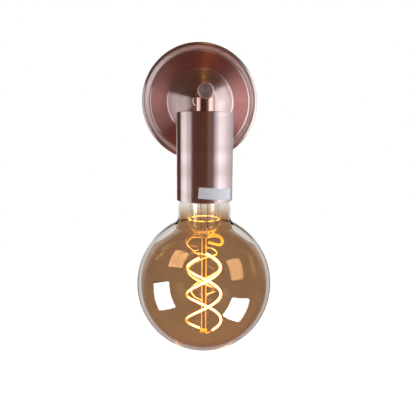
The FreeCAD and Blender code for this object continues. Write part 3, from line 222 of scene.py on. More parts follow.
# Wall plate: one disc of steel, spun to a rolled rim bead, a sloping flank, a groove, a flat field and a
# dome, then copper plated, brushed in rings on the lathe and lacquered. Two small screws through the rim
# hold it on the bracket.
mm = 0.001
reach = 88  # the head's axis stands this far out from the wall, in millimetres


def bend(start, end, radius, side):
    """Points of an arc after start, up to end. Its centre lies left of the way there (1) or right (-1)."""
    start, end = Vector(start), Vector(end)
    way = end - start
    left = Vector((-way.y, way.x)).normalized()
    centre = (start + end) / 2 + left * side * math.sqrt(max(radius**2 - way.length_squared / 4, 0))
    first = math.atan2(start.y - centre.y, start.x - centre.x)
    last = math.atan2(end.y - centre.y, end.x - centre.x)
    sweep = (last - first + math.pi) % (2 * math.pi) - math.pi
    steps = max(2, math.ceil(abs(sweep) / math.radians(4)))
    turns = [first + sweep * step / steps for step in range(1, steps + 1)]
    return [(centre.x + radius * math.cos(turn), centre.y + radius * math.sin(turn)) for turn in turns]


def section(corners, edge):
    """A closed outline in millimetres. A corner may name an arc's radius and side, for the way to it from the
    one before. A sharp corner between straight runs is broken by a tiny round of that size."""
    count = len(corners)
    points = []
    for place, corner in enumerate(corners):
        before, after = corners[place - 1], corners[(place + 1) % count]
        here = Vector(corner[:2])
        if len(corner) > 2:
            points += bend(before[:2], corner[:2], corner[2], corner[3])
            continue
        into, out = here - Vector(before[:2]), Vector(after[:2]) - here
        on_axis = abs(corner[1]) < 1e-6
        if len(after) > 2 or on_axis or into.angle(out) < math.radians(20):
            points.append(corner[:2])
            continue
        back = min(edge, into.length * 0.3, out.length * 0.3)
        start, end = here - into.normalized() * back, here + out.normalized() * back
        points += [
            tuple(here - into.normalized() * back * 1.5), tuple(start), tuple((start + end) / 4 + here / 2),
            tuple(end), tuple(here + out.normalized() * back * 1.5),
        ]
    return points


def turn_on_lathe(name, corners, upright_axis=False, sides=160, edge=0.12):
    """Turns an outline (place along the axis, radius) in millimetres round the arm's axis or the head's. The
    UV map runs along the outline in metres and once round the axis, for the lathe's brush marks."""
    points = section(corners, edge)
    mesh = bpy.data.meshes.new(name)
    shape = bmesh.new()
    uv = shape.loops.layers.uv.new("brushing")
    run = [0.0]
    for one, other in zip(points, points[1:] + points[:1]):
        run.append(run[-1] + math.dist(one, other) * mm)
    rings = []
    for along, radius in points:
        ring = []
        for side in range(sides):
            angle = 2 * math.pi * side / sides
            if radius < 1e-6 and ring:
                ring.append(ring[0])
                continue
            if upright_axis:
                place = (radius * math.cos(angle), -reach + radius * math.sin(angle), along)
            else:
                place = (radius * math.cos(angle), along, radius * math.sin(angle))
            ring.append(shape.verts.new(Vector(place) * mm))
        rings.append(ring)
    for row in range(len(points)):
        near, far = rings[row], rings[(row + 1) % len(points)]
        for side in range(sides):
            next_side = (side + 1) % sides
            around = [
                (near[side], run[row], side), (near[next_side], run[row], side + 1),
                (far[next_side], run[row + 1], side + 1), (far[side], run[row + 1], side),
            ]
            unique = []
            for vertex, along_run, step in around:
                if all(vertex is not other for other, _, _ in unique):
                    unique.append((vertex, along_run, step))
            if len(unique) < 3:
                continue
            face = shape.faces.new([vertex for vertex, _, _ in unique])
            face.smooth = True
            for loop, (_, along_run, step) in zip(face.loops, unique):
                loop[uv].uv = (along_run, step / sides)
    bmesh.ops.recalc_face_normals(shape, faces=shape.faces)
    shape.to_mesh(mesh)
    shape.free()
    mesh.set_sharp_from_angle(angle=math.radians(34))
    piece = bpy.data.objects.new(name, mesh)
    scene.collection.objects.link(piece)
    return piece


def new_metal(name, colour, across, along, line_mm, streak, colour_change, bump):
    """Plated metal with lathe marks, which draw each lamp out to a fan: it is as rough as across over the
    marks and as along by their side. They lie line_mm apart, coarser than real grit, so that they show."""
    roughness = (across * along) ** 0.25
    grain = (1 - along / across) / 0.9  # the shader's Anisotropic goes up to a ratio of 0.9
    cloud_mm = 9
    material, tree = empty_material(name)
    lay = add(tree, "ShaderNodeUVMap", uv_map="brushing")
    marks = add(tree, "ShaderNodeMapping", inputs={
        0: lay.outputs[0], "Scale": (1 / (line_mm * mm), streak, 1),
    })
    lines = add(tree, "ShaderNodeTexNoise", noise_dimensions="2D", inputs={
        "Vector": marks.outputs[0], "Scale": 1.0, "Detail": 3.0, "Roughness": 0.6,
    })
    broad = add(tree, "ShaderNodeMapping", inputs={
        0: lay.outputs[0], "Scale": (1 / (cloud_mm * mm), streak * 0.5, 1),
    })
    cloud = add(tree, "ShaderNodeTexNoise", noise_dimensions="2D", inputs={
        "Vector": broad.outputs[0], "Scale": 1.0, "Detail": 1.0,
    })
    both = add(tree, "ShaderNodeMath", operation="MULTIPLY_ADD", inputs={
        0: lines.outputs[0], 1: 0.7, 2: cloud.outputs[0],
    })
    shade = add(tree, "ShaderNodeMix", data_type="RGBA", inputs={
        0: both.outputs[0], 6: tone(colour), 7: tone(colour_change),
    })
    gloss = add(tree, "ShaderNodeMapRange", inputs={
        0: both.outputs[0], 1: 0.45, 2: 1.25, 3: roughness * 0.85, 4: roughness * 1.15,
    })
    dent = add(tree, "ShaderNodeBump", inputs={
        "Strength": bump, "Distance": 0.02 * mm, "Height": lines.outputs[0],
    })
    lie = add(tree, "ShaderNodeTangent", direction_type="UV_MAP", uv_map="brushing")
    surface = add(tree, "ShaderNodeBsdfPrincipled", inputs={
        "Base Color": shade.outputs[2], "Metallic": 1.0, "Roughness": gloss.outputs[0],
        "Anisotropic": grain, "Tangent": lie.outputs[0], "Normal": dent.outputs[0],
    })
    add(tree, "ShaderNodeOutputMaterial", inputs={0: surface.outputs[0]})
    return material


# The bead and the groove are polished most. The flank is painted paler, nearly white, a painted highlight for
# the pale bands of light that it mirrors. The field is pinker and brushed widest, and the dome carries narrow
# rings, so that it mirrors the lamps as fans.
spun_copper = new_metal("spun_copper_plate", "#F3DBD5", 0.20, 0.04, 0.5, 3, "#E6CAC2", 0.2)
# Painted highlight: the flank's colour is paler than the plating elsewhere.
flank_copper_painted_highlight = new_metal("cross_brushed_copper_plate_painted_highlight", "#FFEDE9", 0.28, 0.13, 0.5, 3, "#F8E0DA", 0.2)
ring_brushed_copper = new_metal("ring_brushed_copper_plate", "#F8B0A8", 0.56, 0.06, 0.6, 3, "#E89E94", 0.3)
dome_copper = new_metal("dome_brushed_copper_plate", "#F1D3CC", 0.42, 0.03, 0.5, 3, "#E2C4BC", 0.25)
plate_radius, plate_radius_in, arm_hole = 50, 49, 5.2
bead, bead_radius, bead_radius_in = -5.8, 2.2, 1.2
groove, groove_back = -5.789, -4.789
field_radius, groove_radius = 29.223, 42.041
dome_front, dome_back, dome_curve, dome_curve_in = -24.443, -23.443, 30.8, 29.8
plate = turn_on_lathe("plate", [
    (0, plate_radius), (bead, plate_radius), (-7.604, 46.541, bead_radius, 1), (groove, 43.941),
    (groove, 43.541), (-7.289, groove_radius, 1.5, 1), (-7.889, field_radius), (-9.089, 27.232, 2.252, -1),
    (dome_front, 8.0, dome_curve, 1), (dome_front, arm_hole),
    (dome_back, arm_hole), (dome_back, 7.87), (-8.622, 26.348, dome_curve_in, -1),
    (-6.889, field_radius, 3.252, 1), (-6.289, groove_radius), (groove, 42.541, 0.5, -1),
    (groove_back, 42.541), (groove_back, 44.255), (-6.784, 47.113),
    (bead, plate_radius_in, bead_radius_in, -1), (0, plate_radius_in),
], sides=256)
for finish in (spun_copper, ring_brushed_copper, dome_copper, flank_copper_painted_highlight):
    plate.data.materials.append(finish)
dome_edge, field_edges, flank_edges = 27.2 * mm, (29.2 * mm, 41.9 * mm), (43.9 * mm, 46.6 * mm)
for face in plate.data.polygons:
    from_middle = math.hypot(face.center.x, face.center.z)
    if field_edges[0] < from_middle < field_edges[1] and face.normal.y < -0.9:
        face.material_index = 1
    elif from_middle < dome_edge:
        face.material_index = 2
    elif flank_edges[0] < from_middle < flank_edges[1] and face.normal.y < -0.7:
        face.material_index = 3
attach(plate, "wall_assembly")
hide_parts("wall_plate")


# Bracket, nuts, washers and screws: a pressed strap on the wall and the small steel parts that hold the
# light together, zinc plated, a cold grey with a soft gloss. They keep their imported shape, as do the like
# below.
def plain(name, colour, metallic, roughness, grain_mm, change, bump=0.1):
    """A moulded, cast, plated or drawn surface with a fine grain that shades its colour and its gloss."""
    material, tree = empty_material(name)
    spot = add(tree, "ShaderNodeTexCoord").outputs["Object"]
    grain = add(tree, "ShaderNodeTexNoise", inputs={
        "Vector": spot, "Scale": 1 / (grain_mm * mm), "Detail": 3.0,
    })
    shade = add(tree, "ShaderNodeMix", data_type="RGBA", inputs={
        0: grain.outputs[0], 6: tone(colour), 7: tone(change),
    })
    gloss = add(tree, "ShaderNodeMapRange", inputs={
        0: grain.outputs[0], 1: 0.3, 2: 0.7, 3: roughness * 0.85, 4: roughness * 1.15,
    })
    dent = add(tree, "ShaderNodeBump", inputs={
        "Strength": bump, "Distance": 0.03 * mm, "Height": grain.outputs[0],
    })
    surface = add(tree, "ShaderNodeBsdfPrincipled", inputs={
        "Base Color": shade.outputs[2], "Metallic": metallic, "Roughness": gloss.outputs[0],
        "Normal": dent.outputs[0],
    })
    add(tree, "ShaderNodeOutputMaterial", inputs={0: surface.outputs[0]})
    return material


def refinish(material, *names):
    """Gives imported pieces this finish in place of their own."""
    for name in names:
        nodes[name].data.materials.clear()
        nodes[name].data.materials.append(material)


zinc = plain("zinc_plated_steel", "#C9CCD0", 1.0, 0.32, 0.8, "#B4B8BE")
refinish(
    zinc, "mounting_bracket", "terminal_screws", "terminal_fixing_screw", "arm_locknut", "lock_washer",
    "holder_nipple", "nipple_washer", "nipple_nut", "socket_terminal_screws",
)

# Brass parts: turned and stamped contacts, terminals and earth parts, and the pivot's round nut and thrust
# washer. Bare machined brass, yellow, with a soft gloss.
brass = plain("machined_brass", "#E3C27A", 1.0, 0.28, 0.6, "#CDA75C")
refinish(
    brass, "terminal_barrels", "earth_screw", "earth_ring_terminal", "thrust_washer", "pivot_nut",
    "screw_shell", "centre_contact", "contact_rivets", "socket_terminals", "lamp_tip_contact",
)

# Pivot: a hollow bolt on the arm's axis and the spring washer that gives the swivel its drag. Hard steel,
# smoother and darker than the zinc.
spring_steel = plain("spring_steel", "#B9BBBE", 1.0, 0.25, 0.5, "#A2A5A9")
refinish(spring_steel, "pivot_bolt", "spring_washer")

# Cable bush: a grommet of moulded rubber in the bracket's hole, black and matt.
rubber = plain("black_rubber", "#1D1D1E", 0.0, 0.7, 0.5, "#2A2A2B")
refinish(rubber, "cable_bush")

# Nylon mouldings: the terminal block, the bush in the arm's cut end and the cap over the socket, white and
# waxy.
moulding = plain("white_nylon_moulding", "#E6E4DC", 0.0, 0.45, 0.7, "#DAD7CE")
refinish(moulding, "terminal_block", "arm_bush", "socket_cap")

# Leads in the arm and the knuckle: stranded copper under coloured plastic, smooth from the extruder.
brown = plain("brown_wire_cover", "#5A3420", 0.0, 0.45, 0.8, "#4F2D1B")
blue = plain("blue_wire_cover", "#224A86", 0.0, 0.45, 0.8, "#1D4078")
green = plain("green_yellow_wire_cover", "#5F8F2B", 0.0, 0.45, 0.8, "#C8C23A")
refinish(brown, "live_lead_arm", "live_lead_head")
refinish(blue, "neutral_lead_arm", "neutral_lead_head")
refinish(green, "earth_lead")

# Arm: a straight steel tube with a turned collar against the dome, both copper plated and polished, which
# gives them narrow, bright streaks.
polished_copper = new_metal("polished_copper_plate", "#F0C6B9", 0.05, 0.02, 0.4, 3, "#E8BAAB", 0.12)
arm_radius, thread_radius, wire_way = 5.45, 5.0, 3.05
arm_cut_end, arm_shoulder, arm_front = -16.243, -28.443, -82.4
tube = turn_on_lathe("arm", [
    (arm_cut_end, wire_way), (arm_cut_end, thread_radius), (arm_shoulder, thread_radius),
    (arm_shoulder, arm_radius), (arm_front, arm_radius), (arm_front, wire_way),
], sides=96)
tube.data.materials.append(polished_copper)
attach(tube, "wall_assembly")
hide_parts("arm_tube")
collar_radius, collar_hole = 7.0, 5.05
collar = turn_on_lathe("collar", [
    (dome_front, collar_hole), (dome_front, collar_radius), (-27.843, collar_radius), (arm_shoulder, 6.4),
    (arm_shoulder, collar_hole),
], sides=96, edge=0.2)
collar.data.materials.append(polished_copper)
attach(collar, "wall_assembly")
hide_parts("arm_collar")

# Knuckle and rim screws: turned steel, copper plated and polished nearly to a mirror.
knuckle_copper = plain("knuckle_copper_plate", "#EFBFAE", 1.0, 0.14, 0.6, "#E6B09E", 0.03)
refinish(knuckle_copper, "knuckle_body", "rim_screws")

# Pivot cap: a turned disc with a bright bevelled rim and a dull flat face, pressed in the front of the
# knuckle. The rim is rougher and also painted paler than the face, so its brightness is partly a painted
# highlight.
faced_copper = new_metal("dull_faced_copper", "#DCC6C3", 0.3, 0.2, 0.3, 3, "#C9B2B0", 0.2)
# Painted highlight: the bevel's colour is paler than the face's.
bevel_painted_highlight_copper = new_metal("bevel_copper_with_painted_highlight", "#F7D3C8", 0.5, 0.45, 0.3, 3, "#EFC4B8", 0.1)
cap_back, cap_seat, cap_bevel, cap_front = -92.0, -93.2, -95.6, -96.5
cap_radius, cap_face_radius = 5.45, 4.55
cap = turn_on_lathe("knuckle_cap", [
    (cap_back, 0), (cap_back, cap_face_radius), (cap_seat, cap_face_radius), (cap_seat, cap_radius),
    (cap_bevel, cap_radius), (cap_front, cap_face_radius), (cap_front, 0),
], sides=96, edge=0.1)
for finish in (polished_copper, faced_copper, bevel_painted_highlight_copper):
    cap.data.materials.append(finish)
for face in cap.data.polygons:
    if face.normal.y < -0.97:
        face.material_index = 1
    elif face.normal.y < -0.3:
        face.material_index = 2
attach(cap, "swivel_head")
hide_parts("pivot_cap")

# Lampholder cup: drawn steel, copper plated, brushed round and round and lacquered, so that each panel
# stands on it as a soft upright band. The nipple's nut holds it.
brushed_cup_copper = new_metal("round_brushed_copper_plate", "#F5DFDA", 0.45, 0.03, 0.5, 2, "#E6CCC5", 0.25)
cup_top, cup_roof, cup_mouth = -13.7, -14.7, -73.1
cup_radius, cup_radius_in, nipple_hole = 19.4, 18.4, 5.2
cup_edge, cup_edge_radius = 19.0, 0.4
cup = turn_on_lathe("holder_cup", [
    (cup_top, nipple_hole), (cup_roof, nipple_hole), (cup_roof, cup_radius_in), (cup_mouth, cup_radius_in),
    (cup_mouth, cup_edge), (-72.7, cup_radius, cup_edge_radius, 1), (-14.1, cup_radius),
    (cup_top, cup_edge, cup_edge_radius, 1),
], upright_axis=True, sides=192)
cup.data.materials.append(brushed_cup_copper)
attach(cup, "swivel_head")
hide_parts("lampholder_cup")

# Socket body: pressed porcelain, fired with a white glaze that looks wet. It sits deep in the cup.
porcelain = plain("glazed_porcelain", "#EFEDE6", 0.0, 0.2, 1.5, "#E6E2D8")
refinish(porcelain, "socket_body")

# Rating sticker: a strip of silver foil that is stuck round the cup near its mouth, dull and slightly
# bluish, and bare of print.
foil = plain("bare_foil_label", "#DDDCDE", 0.0, 0.45, 0.9, "#D2D2D6")
refinish(foil, "rating_sticker")

# Lamp cap: a screw shell of drawn aluminium, black glass round its tip contact, and the small driver board
# in it.
alloy = plain("drawn_aluminium", "#D6D6D6", 1.0, 0.22, 0.5, "#C4C4C6")
refinish(alloy, "lamp_cap_shell")
black_glass = plain("black_vitrite", "#15141A", 0.0, 0.15, 1.0, "#1E1C24")
refinish(black_glass, "lamp_insulator")
board = plain("driver_board_laminate", "#2F5A38", 0.0, 0.5, 0.6, "#274C2F")
refinish(board, "driver_board")

# Lamp glass: a blown clear globe, 95.5 mm across, with a wall of 2.6 mm. Only its inner wall carries the
# amber coat, which fades in down the neck and mirrors a little, so that the wall shows as a clear, pale
# rim.
film_nm, film_ior, glass_ior, neck_ior = 65.0, 1.9, 1.5, 1.08
amber_glass, tree = empty_material("amber_coated_glass")
spot = add(tree, "ShaderNodeTexCoord").outputs["Object"]
height = add(tree, "ShaderNodeSeparateXYZ", inputs={0: spot}).outputs["Z"]
inside = add(tree, "ShaderNodeAttribute", attribute_name="coated").outputs["Fac"]
below = add(tree, "ShaderNodeMapRange", interpolation_type="SMOOTHSTEP", inputs={
    0: height, 1: -0.0745, 2: -0.087, 3: 0.0, 4: 1.0,
})
coated = add(tree, "ShaderNodeMath", operation="MULTIPLY", inputs={0: inside, 1: below.outputs[0]})
tint = add(tree, "ShaderNodeMix", data_type="RGBA", inputs={
    0: coated.outputs[0], 6: tone("#F6F4EE"), 7: tone("#AF865D"),
})
low = add(tree, "ShaderNodeMapRange", interpolation_type="SMOOTHSTEP", inputs={
    0: height, 1: -0.090, 2: -0.096, 3: 0.0, 4: film_nm,
})
film = add(tree, "ShaderNodeMath", operation="MULTIPLY", inputs={0: inside, 1: low.outputs[0]})
hazy = add(tree, "ShaderNodeMapRange", interpolation_type="SMOOTHSTEP", inputs={
    0: height, 1: -0.088, 2: -0.080, 3: 0.0, 4: 0.15,
})
# The neck bends light less, and a ray that has met five faces goes straight on, unbent and unmirrored, or
# what the wall traps would draw black lines round the neck.
bending = add(tree, "ShaderNodeMapRange", interpolation_type="SMOOTHSTEP", inputs={
    0: height, 1: -0.102, 2: -0.090, 3: glass_ior, 4: neck_ior,
})
untrapped = add(tree, "ShaderNodeMath", operation="LESS_THAN", inputs={
    0: add(tree, "ShaderNodeLightPath").outputs["Ray Depth"], 1: 4.5,
})
film = add(tree, "ShaderNodeMath", operation="MULTIPLY", inputs={0: film.outputs[0], 1: untrapped.outputs[0]})
over_air = add(tree, "ShaderNodeMath", operation="SUBTRACT", inputs={0: bending.outputs[0], 1: 1.0})
bends = add(tree, "ShaderNodeMath", operation="MULTIPLY_ADD", inputs={
    0: over_air.outputs[0], 1: untrapped.outputs[0], 2: 1.0,
})
surface = add(tree, "ShaderNodeBsdfPrincipled", inputs={
    "Base Color": tint.outputs[2], "Roughness": hazy.outputs[0], "IOR": bends.outputs[0],
    "Transmission Weight": 1.0, "Thin Film Thickness": film.outputs[0], "Thin Film IOR": film_ior,
})
smoke = add(tree, "ShaderNodeVolumeAbsorption", inputs={0: tone("#B6A79D"), 1: 55.0})
add(tree, "ShaderNodeOutputMaterial", inputs={0: surface.outputs[0], 1: smoke.outputs[0]})

# Radii and heights of the globe in millimetres, each with its like on the inner wall.
ball, ball_in = 47.75, 45.15
neck, neck_in = 18.3, 17.4
throat, throat_in = 12.4, 11.5
fillet, fillet_in, fillet_ring = 6, 6.9, 24.3  # the ring is where the fillet's centres lie
throat_end, throat_foot, neck_top, neck_foot = -63, -69.5, -80, -84.8
rise = math.sqrt((ball + fillet) ** 2 - fillet_ring**2)
rise_in = math.sqrt((ball_in + fillet_in) ** 2 - fillet_ring**2)
middle = neck_foot - rise
share, share_in = ball / (ball + fillet), ball_in / (ball_in + fillet_in)
shoulder = (5.9**2 + 10.5**2) / (2 * 5.9)  # it widens by 5.9 as it falls by 10.5
shoulder_in = shoulder - 0.9
throat_foot_in = neck_top + math.sqrt(shoulder_in**2 - (throat_in - neck + shoulder) ** 2)
globe = turn_on_lathe("globe", [
    (throat_end, throat_in), (throat_foot_in, throat_in), (neck_top, neck_in, shoulder_in, 1),
    (middle + rise_in, neck_in), (middle + rise_in * share_in, fillet_ring * share_in, fillet_in, -1),
    (middle, ball_in, ball_in, 1), (middle - ball_in, 0, ball_in, 1),
    (middle - ball, 0), (middle, ball, ball, -1), (middle + rise * share, fillet_ring * share, ball, -1),
    (neck_foot, neck, fillet, 1), (neck_top, neck), (throat_foot, throat, shoulder, -1), (throat_end, throat),
], upright_axis=True, sides=192)
globe.data.materials.append(amber_glass)
coat = globe.data.attributes.new("coated", "FLOAT", "FACE")
for face in globe.data.polygons:
    from_axis = face.center - Vector((0, -reach * mm, max(face.center.z, middle * mm)))
    coat.data[face.index].value = 1.0 if face.normal.dot(from_axis) < 0 else 0.0
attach(globe, "lamp")
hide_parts("bulb_glass")

# Glass lights: two bright boxes, one low on each side, that only the globe mirrors, as the white quads on
# its front and the tan ones on its back. They shine on mirrored rays alone, so that nobody sees them
# through the glass.
globe_middle = (0, -0.088, -0.132744)
shine = bpy.data.collections.new("globe_only")
shine.objects.link(globe)
for lamp in (
    panel("left_box", -49.5, -13.4, 0.6, 0.37, 0.37, 13.0, "#FFFFFF", (-0.119, 0.135, -0.132744), 22),
    panel("right_box", 55.2, -29.6, 0.6, 0.36, 0.323, 15.0, "#FFFFFF", globe_middle, -15.6),
):
    lamp.light_linking.receiver_collection = shine
    lamp.data.use_nodes = True
    tree = lamp.data.node_tree
    tree.nodes.clear()
    mirrored_once = add(tree, "ShaderNodeMath", operation="GREATER_THAN", inputs={
        0: add(tree, "ShaderNodeLightPath").outputs["Glossy Depth"], 1: 0.5,
    })
    glare = add(tree, "ShaderNodeEmission", inputs={1: mirrored_once.outputs[0]})
    add(tree, "ShaderNodeOutputLight", inputs={0: glare.outputs[0]})

# Glass foot: the drawn tube inside the globe that carries all the rest, with its two copper lead-in wires.
# Its edges and a line round it carry a painted orange glow, a painted reflection of the strips' light,
# stronger toward the strips and in uneven dots.
painted_glint_glass, tree = empty_material("glass_stem_with_painted_glint")
facing = add(tree, "ShaderNodeLayerWeight", inputs={0: 0.5})
rim = add(tree, "ShaderNodeMapRange", interpolation_type="SMOOTHSTEP", inputs={
    0: facing.outputs["Facing"], 1: 0.70, 2: 1.0, 3: 0.0, 4: 1.0,
})
spot = add(tree, "ShaderNodeTexCoord").outputs["Object"]
height = add(tree, "ShaderNodeSeparateXYZ", inputs={0: spot}).outputs["Z"]
near_strips = add(tree, "ShaderNodeMapRange", inputs={0: height, 1: -0.082, 2: -0.085, 3: 0.0, 4: 3.4})
spots = add(tree, "ShaderNodeTexNoise", inputs={"Vector": spot, "Scale": 450.0, "Detail": 2.0})
uneven = add(tree, "ShaderNodeMapRange", inputs={0: spots.outputs[0], 1: 0.42, 2: 0.6, 3: 0.1, 4: 1.0})
round_line = add(tree, "ShaderNodeMath", operation="COMPARE", inputs={0: height, 1: -0.0866, 2: 0.0003})
lines = add(tree, "ShaderNodeMath", operation="MAXIMUM", inputs={0: rim.outputs[0], 1: round_line.outputs[0]})
spotted = add(tree, "ShaderNodeMath", operation="MULTIPLY", inputs={
    0: lines.outputs[0], 1: uneven.outputs[0],
})
# Painted glint: the glass emits this orange at its edges and round line, where it would mirror the strips.
painted_glint_strength = add(tree, "ShaderNodeMath", operation="MULTIPLY", inputs={
    0: spotted.outputs[0], 1: near_strips.outputs[0],
})
surface = add(tree, "ShaderNodeBsdfPrincipled", inputs={
    "Base Color": white, "Roughness": 0.0, "IOR": 1.5, "Transmission Weight": 1.0,
    "Emission Color": (1.0, 0.58, 0.10, 1), "Emission Strength": painted_glint_strength.outputs[0],
})
add(tree, "ShaderNodeOutputMaterial", inputs={0: surface.outputs[0]})
refinish(painted_glint_glass, "glass_mount")
lead_wire = plain("copper_lead_wire", "#B0663F", 1.0, 0.3, 0.4, "#9C5834")
refinish(lead_wire, "lead_in_wires")

# LED strips: two flexible strips in round silicone, looped past each other one and a half times. They run
# white hot in the middle and fall to orange at the edge of the silicone.
glow, tree = empty_material("lit_silicone_strip")
facing = add(tree, "ShaderNodeLayerWeight", inputs={0: 0.5})
glow_colour = add(tree, "ShaderNodeValToRGB", inputs={0: facing.outputs["Facing"]})
stops = glow_colour.color_ramp.elements
stops[0].position, stops[0].color = 0.17, (1.0, 0.48, 0.20, 1)
stops[1].position, stops[1].color = 0.80, (0.02, 0.005, 0.0002, 1)
for position, colour in ((0.32, (0.16, 0.06, 0.008, 1)), (0.5, (0.06, 0.02, 0.001, 1))):
    stops.new(position).color = colour
surface = add(tree, "ShaderNodeBsdfPrincipled", inputs={
    "Base Color": tone("#F2D9A0"), "Roughness": 0.4,
    "Emission Color": glow_colour.outputs[0], "Emission Strength": 40.0,
})
add(tree, "ShaderNodeOutputMaterial", inputs={0: surface.outputs[0]})


def shape_tree(name):
    """A tree that shapes an object's geometry, with its way in and its way out."""
    tree = bpy.data.node_groups.new(name, "GeometryNodeTree")
    for way in ("INPUT", "OUTPUT"):
        tree.interface.new_socket("Geometry", in_out=way, socket_type="NodeSocketGeometry")
    return tree


def sweep(tree, sides, radius, material, **curve):
    """Ends the tree with a round skin along the curve, in that material."""
    ring = add(tree, "GeometryNodeCurvePrimitiveCircle", inputs={"Resolution": sides, "Radius": radius})
    skin = add(tree, "GeometryNodeCurveToMesh", inputs={
        "Profile Curve": ring.outputs[0], "Fill Caps": True, **curve,
    })
    smooth = add(tree, "GeometryNodeSetShadeSmooth", inputs={0: skin.outputs[0]})
    finish = add(tree, "GeometryNodeSetMaterial", inputs={
        "Geometry": smooth.outputs[0], "Material": material,
    })
    real = add(tree, "GeometryNodeRealizeInstances", inputs={0: finish.outputs[0]})
    add(tree, "NodeGroupOutput", inputs={0: real.outputs[0]})


def shaped(name, holder, tree, **values):
    """A new piece with the mesh that the tree makes of the holder at these values. The holder goes."""
    scene.collection.objects.link(holder)
    maker = holder.modifiers.new(tree.name, "NODES")
    maker.node_group = tree
    for socket, value in values.items():
        maker[socket] = value
    made = bpy.data.meshes.new_from_object(holder.evaluated_get(bpy.context.evaluated_depsgraph_get()))
    holder.modifiers.remove(maker)
    bpy.data.objects.remove(holder)
    piece = bpy.data.objects.new(name, made)
    scene.collection.objects.link(piece)
    return piece


strip_tree = shape_tree("looped_strip")
strip_inputs = {}
for name, value in (
    ("Side", 1.0), ("First angle", 0.0), ("Last angle", 9.0), ("Head width", 0.0119), ("Foot width", 0.0132),
    ("Depth", 0.004), ("Head drop", 0.1124), ("Fall", 0.0202), ("Radius", 0.00095), ("Reach", 0.088),
):
    socket = strip_tree.interface.new_socket(name, in_out="INPUT", socket_type="NodeSocketFloat")
    socket.default_value = value
    strip_inputs[name] = socket.identifier
given = add(strip_tree, "NodeGroupInput").outputs
line = add(strip_tree, "GeometryNodeCurvePrimitiveLine", inputs={"Start": (0, 0, 0), "End": (0, 0, 1)})
fine = add(strip_tree, "GeometryNodeResampleCurve", inputs={"Curve": line.outputs[0], "Count": 220})
along = add(strip_tree, "GeometryNodeSplineParameter").outputs["Factor"]


def worked(operation, one, other=0.0, third=0.0):
    """The result of one sum in the strips' tree."""
    sum_node = add(strip_tree, "ShaderNodeMath", operation=operation, inputs={0: one, 1: other, 2: third})
    return sum_node.outputs[0]


# Seen from the front a strip is a sine wave that widens toward its foot, falls by one Fall in half a turn,
# and passes before and behind the other by its Depth.
turned_by = worked("SUBTRACT", given["Last angle"], given["First angle"])
angle = worked("MULTIPLY_ADD", turned_by, along, given["First angle"])
wider = worked("SUBTRACT", given["Foot width"], given["Head width"])
width = worked("ADD", given["Head width"], worked("MULTIPLY", wider, worked("DIVIDE", angle, 3 * math.pi)))
strip_x = worked("MULTIPLY", worked("MULTIPLY", given["Side"], width), worked("SINE", angle))
swing = worked("MULTIPLY", worked("MULTIPLY", given["Side"], given["Depth"]), worked("COSINE", angle))
strip_y = worked("SUBTRACT", swing, given["Reach"])
fallen = worked("MULTIPLY", worked("DIVIDE", angle, -math.pi), given["Fall"])
strip_z = worked("SUBTRACT", fallen, given["Head drop"])
place = add(strip_tree, "ShaderNodeCombineXYZ", inputs={0: strip_x, 1: strip_y, 2: strip_z})
looped = add(strip_tree, "GeometryNodeSetPosition", inputs={
    "Geometry": fine.outputs[0], "Position": place.outputs[0],
})
sweep(strip_tree, 16, given["Radius"], glow, Curve=looped.outputs[0])
for name, side, first_angle, last_angle in (
    ("left", -1.0, 0.3, 3 * math.pi - 0.25), ("right", 1.0, 0.12, 3 * math.pi - 0.5),
):
    holder = bpy.data.objects.new(f"strip_{name}_maker", bpy.data.meshes.new(f"strip_{name}_maker"))
    strip = shaped(f"strip_{name}", holder, strip_tree, **{
        strip_inputs["Side"]: side, strip_inputs["First angle"]: first_angle,
        strip_inputs["Last angle"]: last_angle,
    })
    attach(strip, "lamp")
    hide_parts(f"led_strip_{name}")

# Strip leads and rods: bare nickel wires that curl from the glass foot to the strips' heads, the right one
# with a thick loop of strip tail, and two straight rods with a clip and leads at the foot. All carry a
# painted orange glow, which stands in for the strips' light on them.
painted_glow_wire, tree = empty_material("nickel_wire_painted_glow")
facing = add(tree, "ShaderNodeLayerWeight", inputs={0: 0.5})
glow_colour = add(tree, "ShaderNodeValToRGB", inputs={0: facing.outputs["Facing"]})
stops = glow_colour.color_ramp.elements
stops[0].position, stops[0].color = 0.05, (0.80, 0.36, 0.03, 1)
stops[1].position, stops[1].color = 0.55, (1.0, 0.62, 0.10, 1)
# Painted glow: the wires emit this orange though they are no lamp, as a painted reflection of the strips.
surface = add(tree, "ShaderNodeBsdfPrincipled", inputs={
    "Base Color": tone("#D9B27C"), "Metallic": 1.0, "Roughness": 0.25,
    "Emission Color": glow_colour.outputs[0], "Emission Strength": 3.2,
})
add(tree, "ShaderNodeOutputMaterial", inputs={0: surface.outputs[0]})
refinish(painted_glow_wire, "filament_clip", "strip_foot_wires")
wire_radius = 0.3 * mm
lead_tree = shape_tree("bent_lead")
lead_radius = lead_tree.interface.new_socket("Radius", in_out="INPUT", socket_type="NodeSocketFloat")
lead_radius.default_value = wire_radius
given = add(lead_tree, "NodeGroupInput").outputs
thickness = add(lead_tree, "GeometryNodeInputRadius").outputs[0]
sweep(lead_tree, 12, given["Radius"], painted_glow_wire, Curve=given["Geometry"], Scale=thickness)


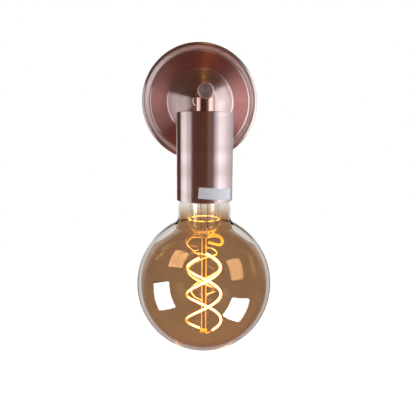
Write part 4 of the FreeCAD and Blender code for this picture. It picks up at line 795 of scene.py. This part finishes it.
def bent_wires(name, node_name, runs):
    """One piece of wire for each run of places in millimetres, as thick as its share of 0.6 mm."""
    path = bpy.data.curves.new(name, "CURVE")
    path.dimensions = "3D"
    for thickness, places in runs:
        run = path.splines.new("BEZIER")
        run.bezier_points.add(len(places) - 1)
        for point, place in zip(run.bezier_points, places):
            point.co = Vector(place) * mm
            point.radius = thickness
            point.handle_left_type = point.handle_right_type = "AUTO"
    holder = bpy.data.objects.new(f"{name}_maker", path)
    piece = shaped(name, holder, lead_tree, **{lead_radius.identifier: wire_radius})
    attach(piece, "lamp")
    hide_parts(node_name)


bent_wires("strip_leads", "strip_head_wires", (
    (1.0, ((-2.4, -88, -99.3), (-6.7, -90.5, -98.6), (-9.3, -91.5, -99.0), (-11.9, -91, -101.8),
           (-12.3, -90, -104.4), (-10.1, -88.5, -107.5), (-3.5, -84.4, -114.3))),
    (3.2, ((2.4, -88, -99.0), (8.0, -90, -97.6), (12.0, -91, -98.9), (13.3, -90, -102.2),
           (12.0, -88, -104.9), (7.9, -86, -104.6), (3.4, -86, -103.3))),
    (1.0, ((1.6, -87.5, -104.5), (1.6, -88, -108.1), (4.1, -89, -107.1), (7.2, -89.5, -108.3),
           (9.2, -88.5, -111.9), (6.5, -86, -115.0), (1.5, -84.1, -113.2))),
))
bent_wires("rods", "support_rods", [
    (0.75, ((side * 1.5, -88, -99.5), (side * 1.5, -88, -130), (side * 1.5, -88, -170.8))) for side in (-1, 1)
])

# Who is lit by what: every piece but the globe by the panels on the right and the warm lamp, the same but
# for the plate by those on the left, and the plate alone by its own four.
but_globe = [piece for piece in scene.objects if piece.type == "MESH" and piece is not globe]
for name, lamps, lit_pieces in (
    ("all_but_globe", metal_lamps, but_globe),
    ("all_but_globe_and_plate", left_lamps, [piece for piece in but_globe if piece is not plate]),
    ("plate_only", plate_lamps, [plate]),
):
    receivers = bpy.data.collections.new(name)
    for piece in lit_pieces:
        receivers.objects.link(piece)
    for lamp in lamps:
        lamp.light_linking.receiver_collection = receivers
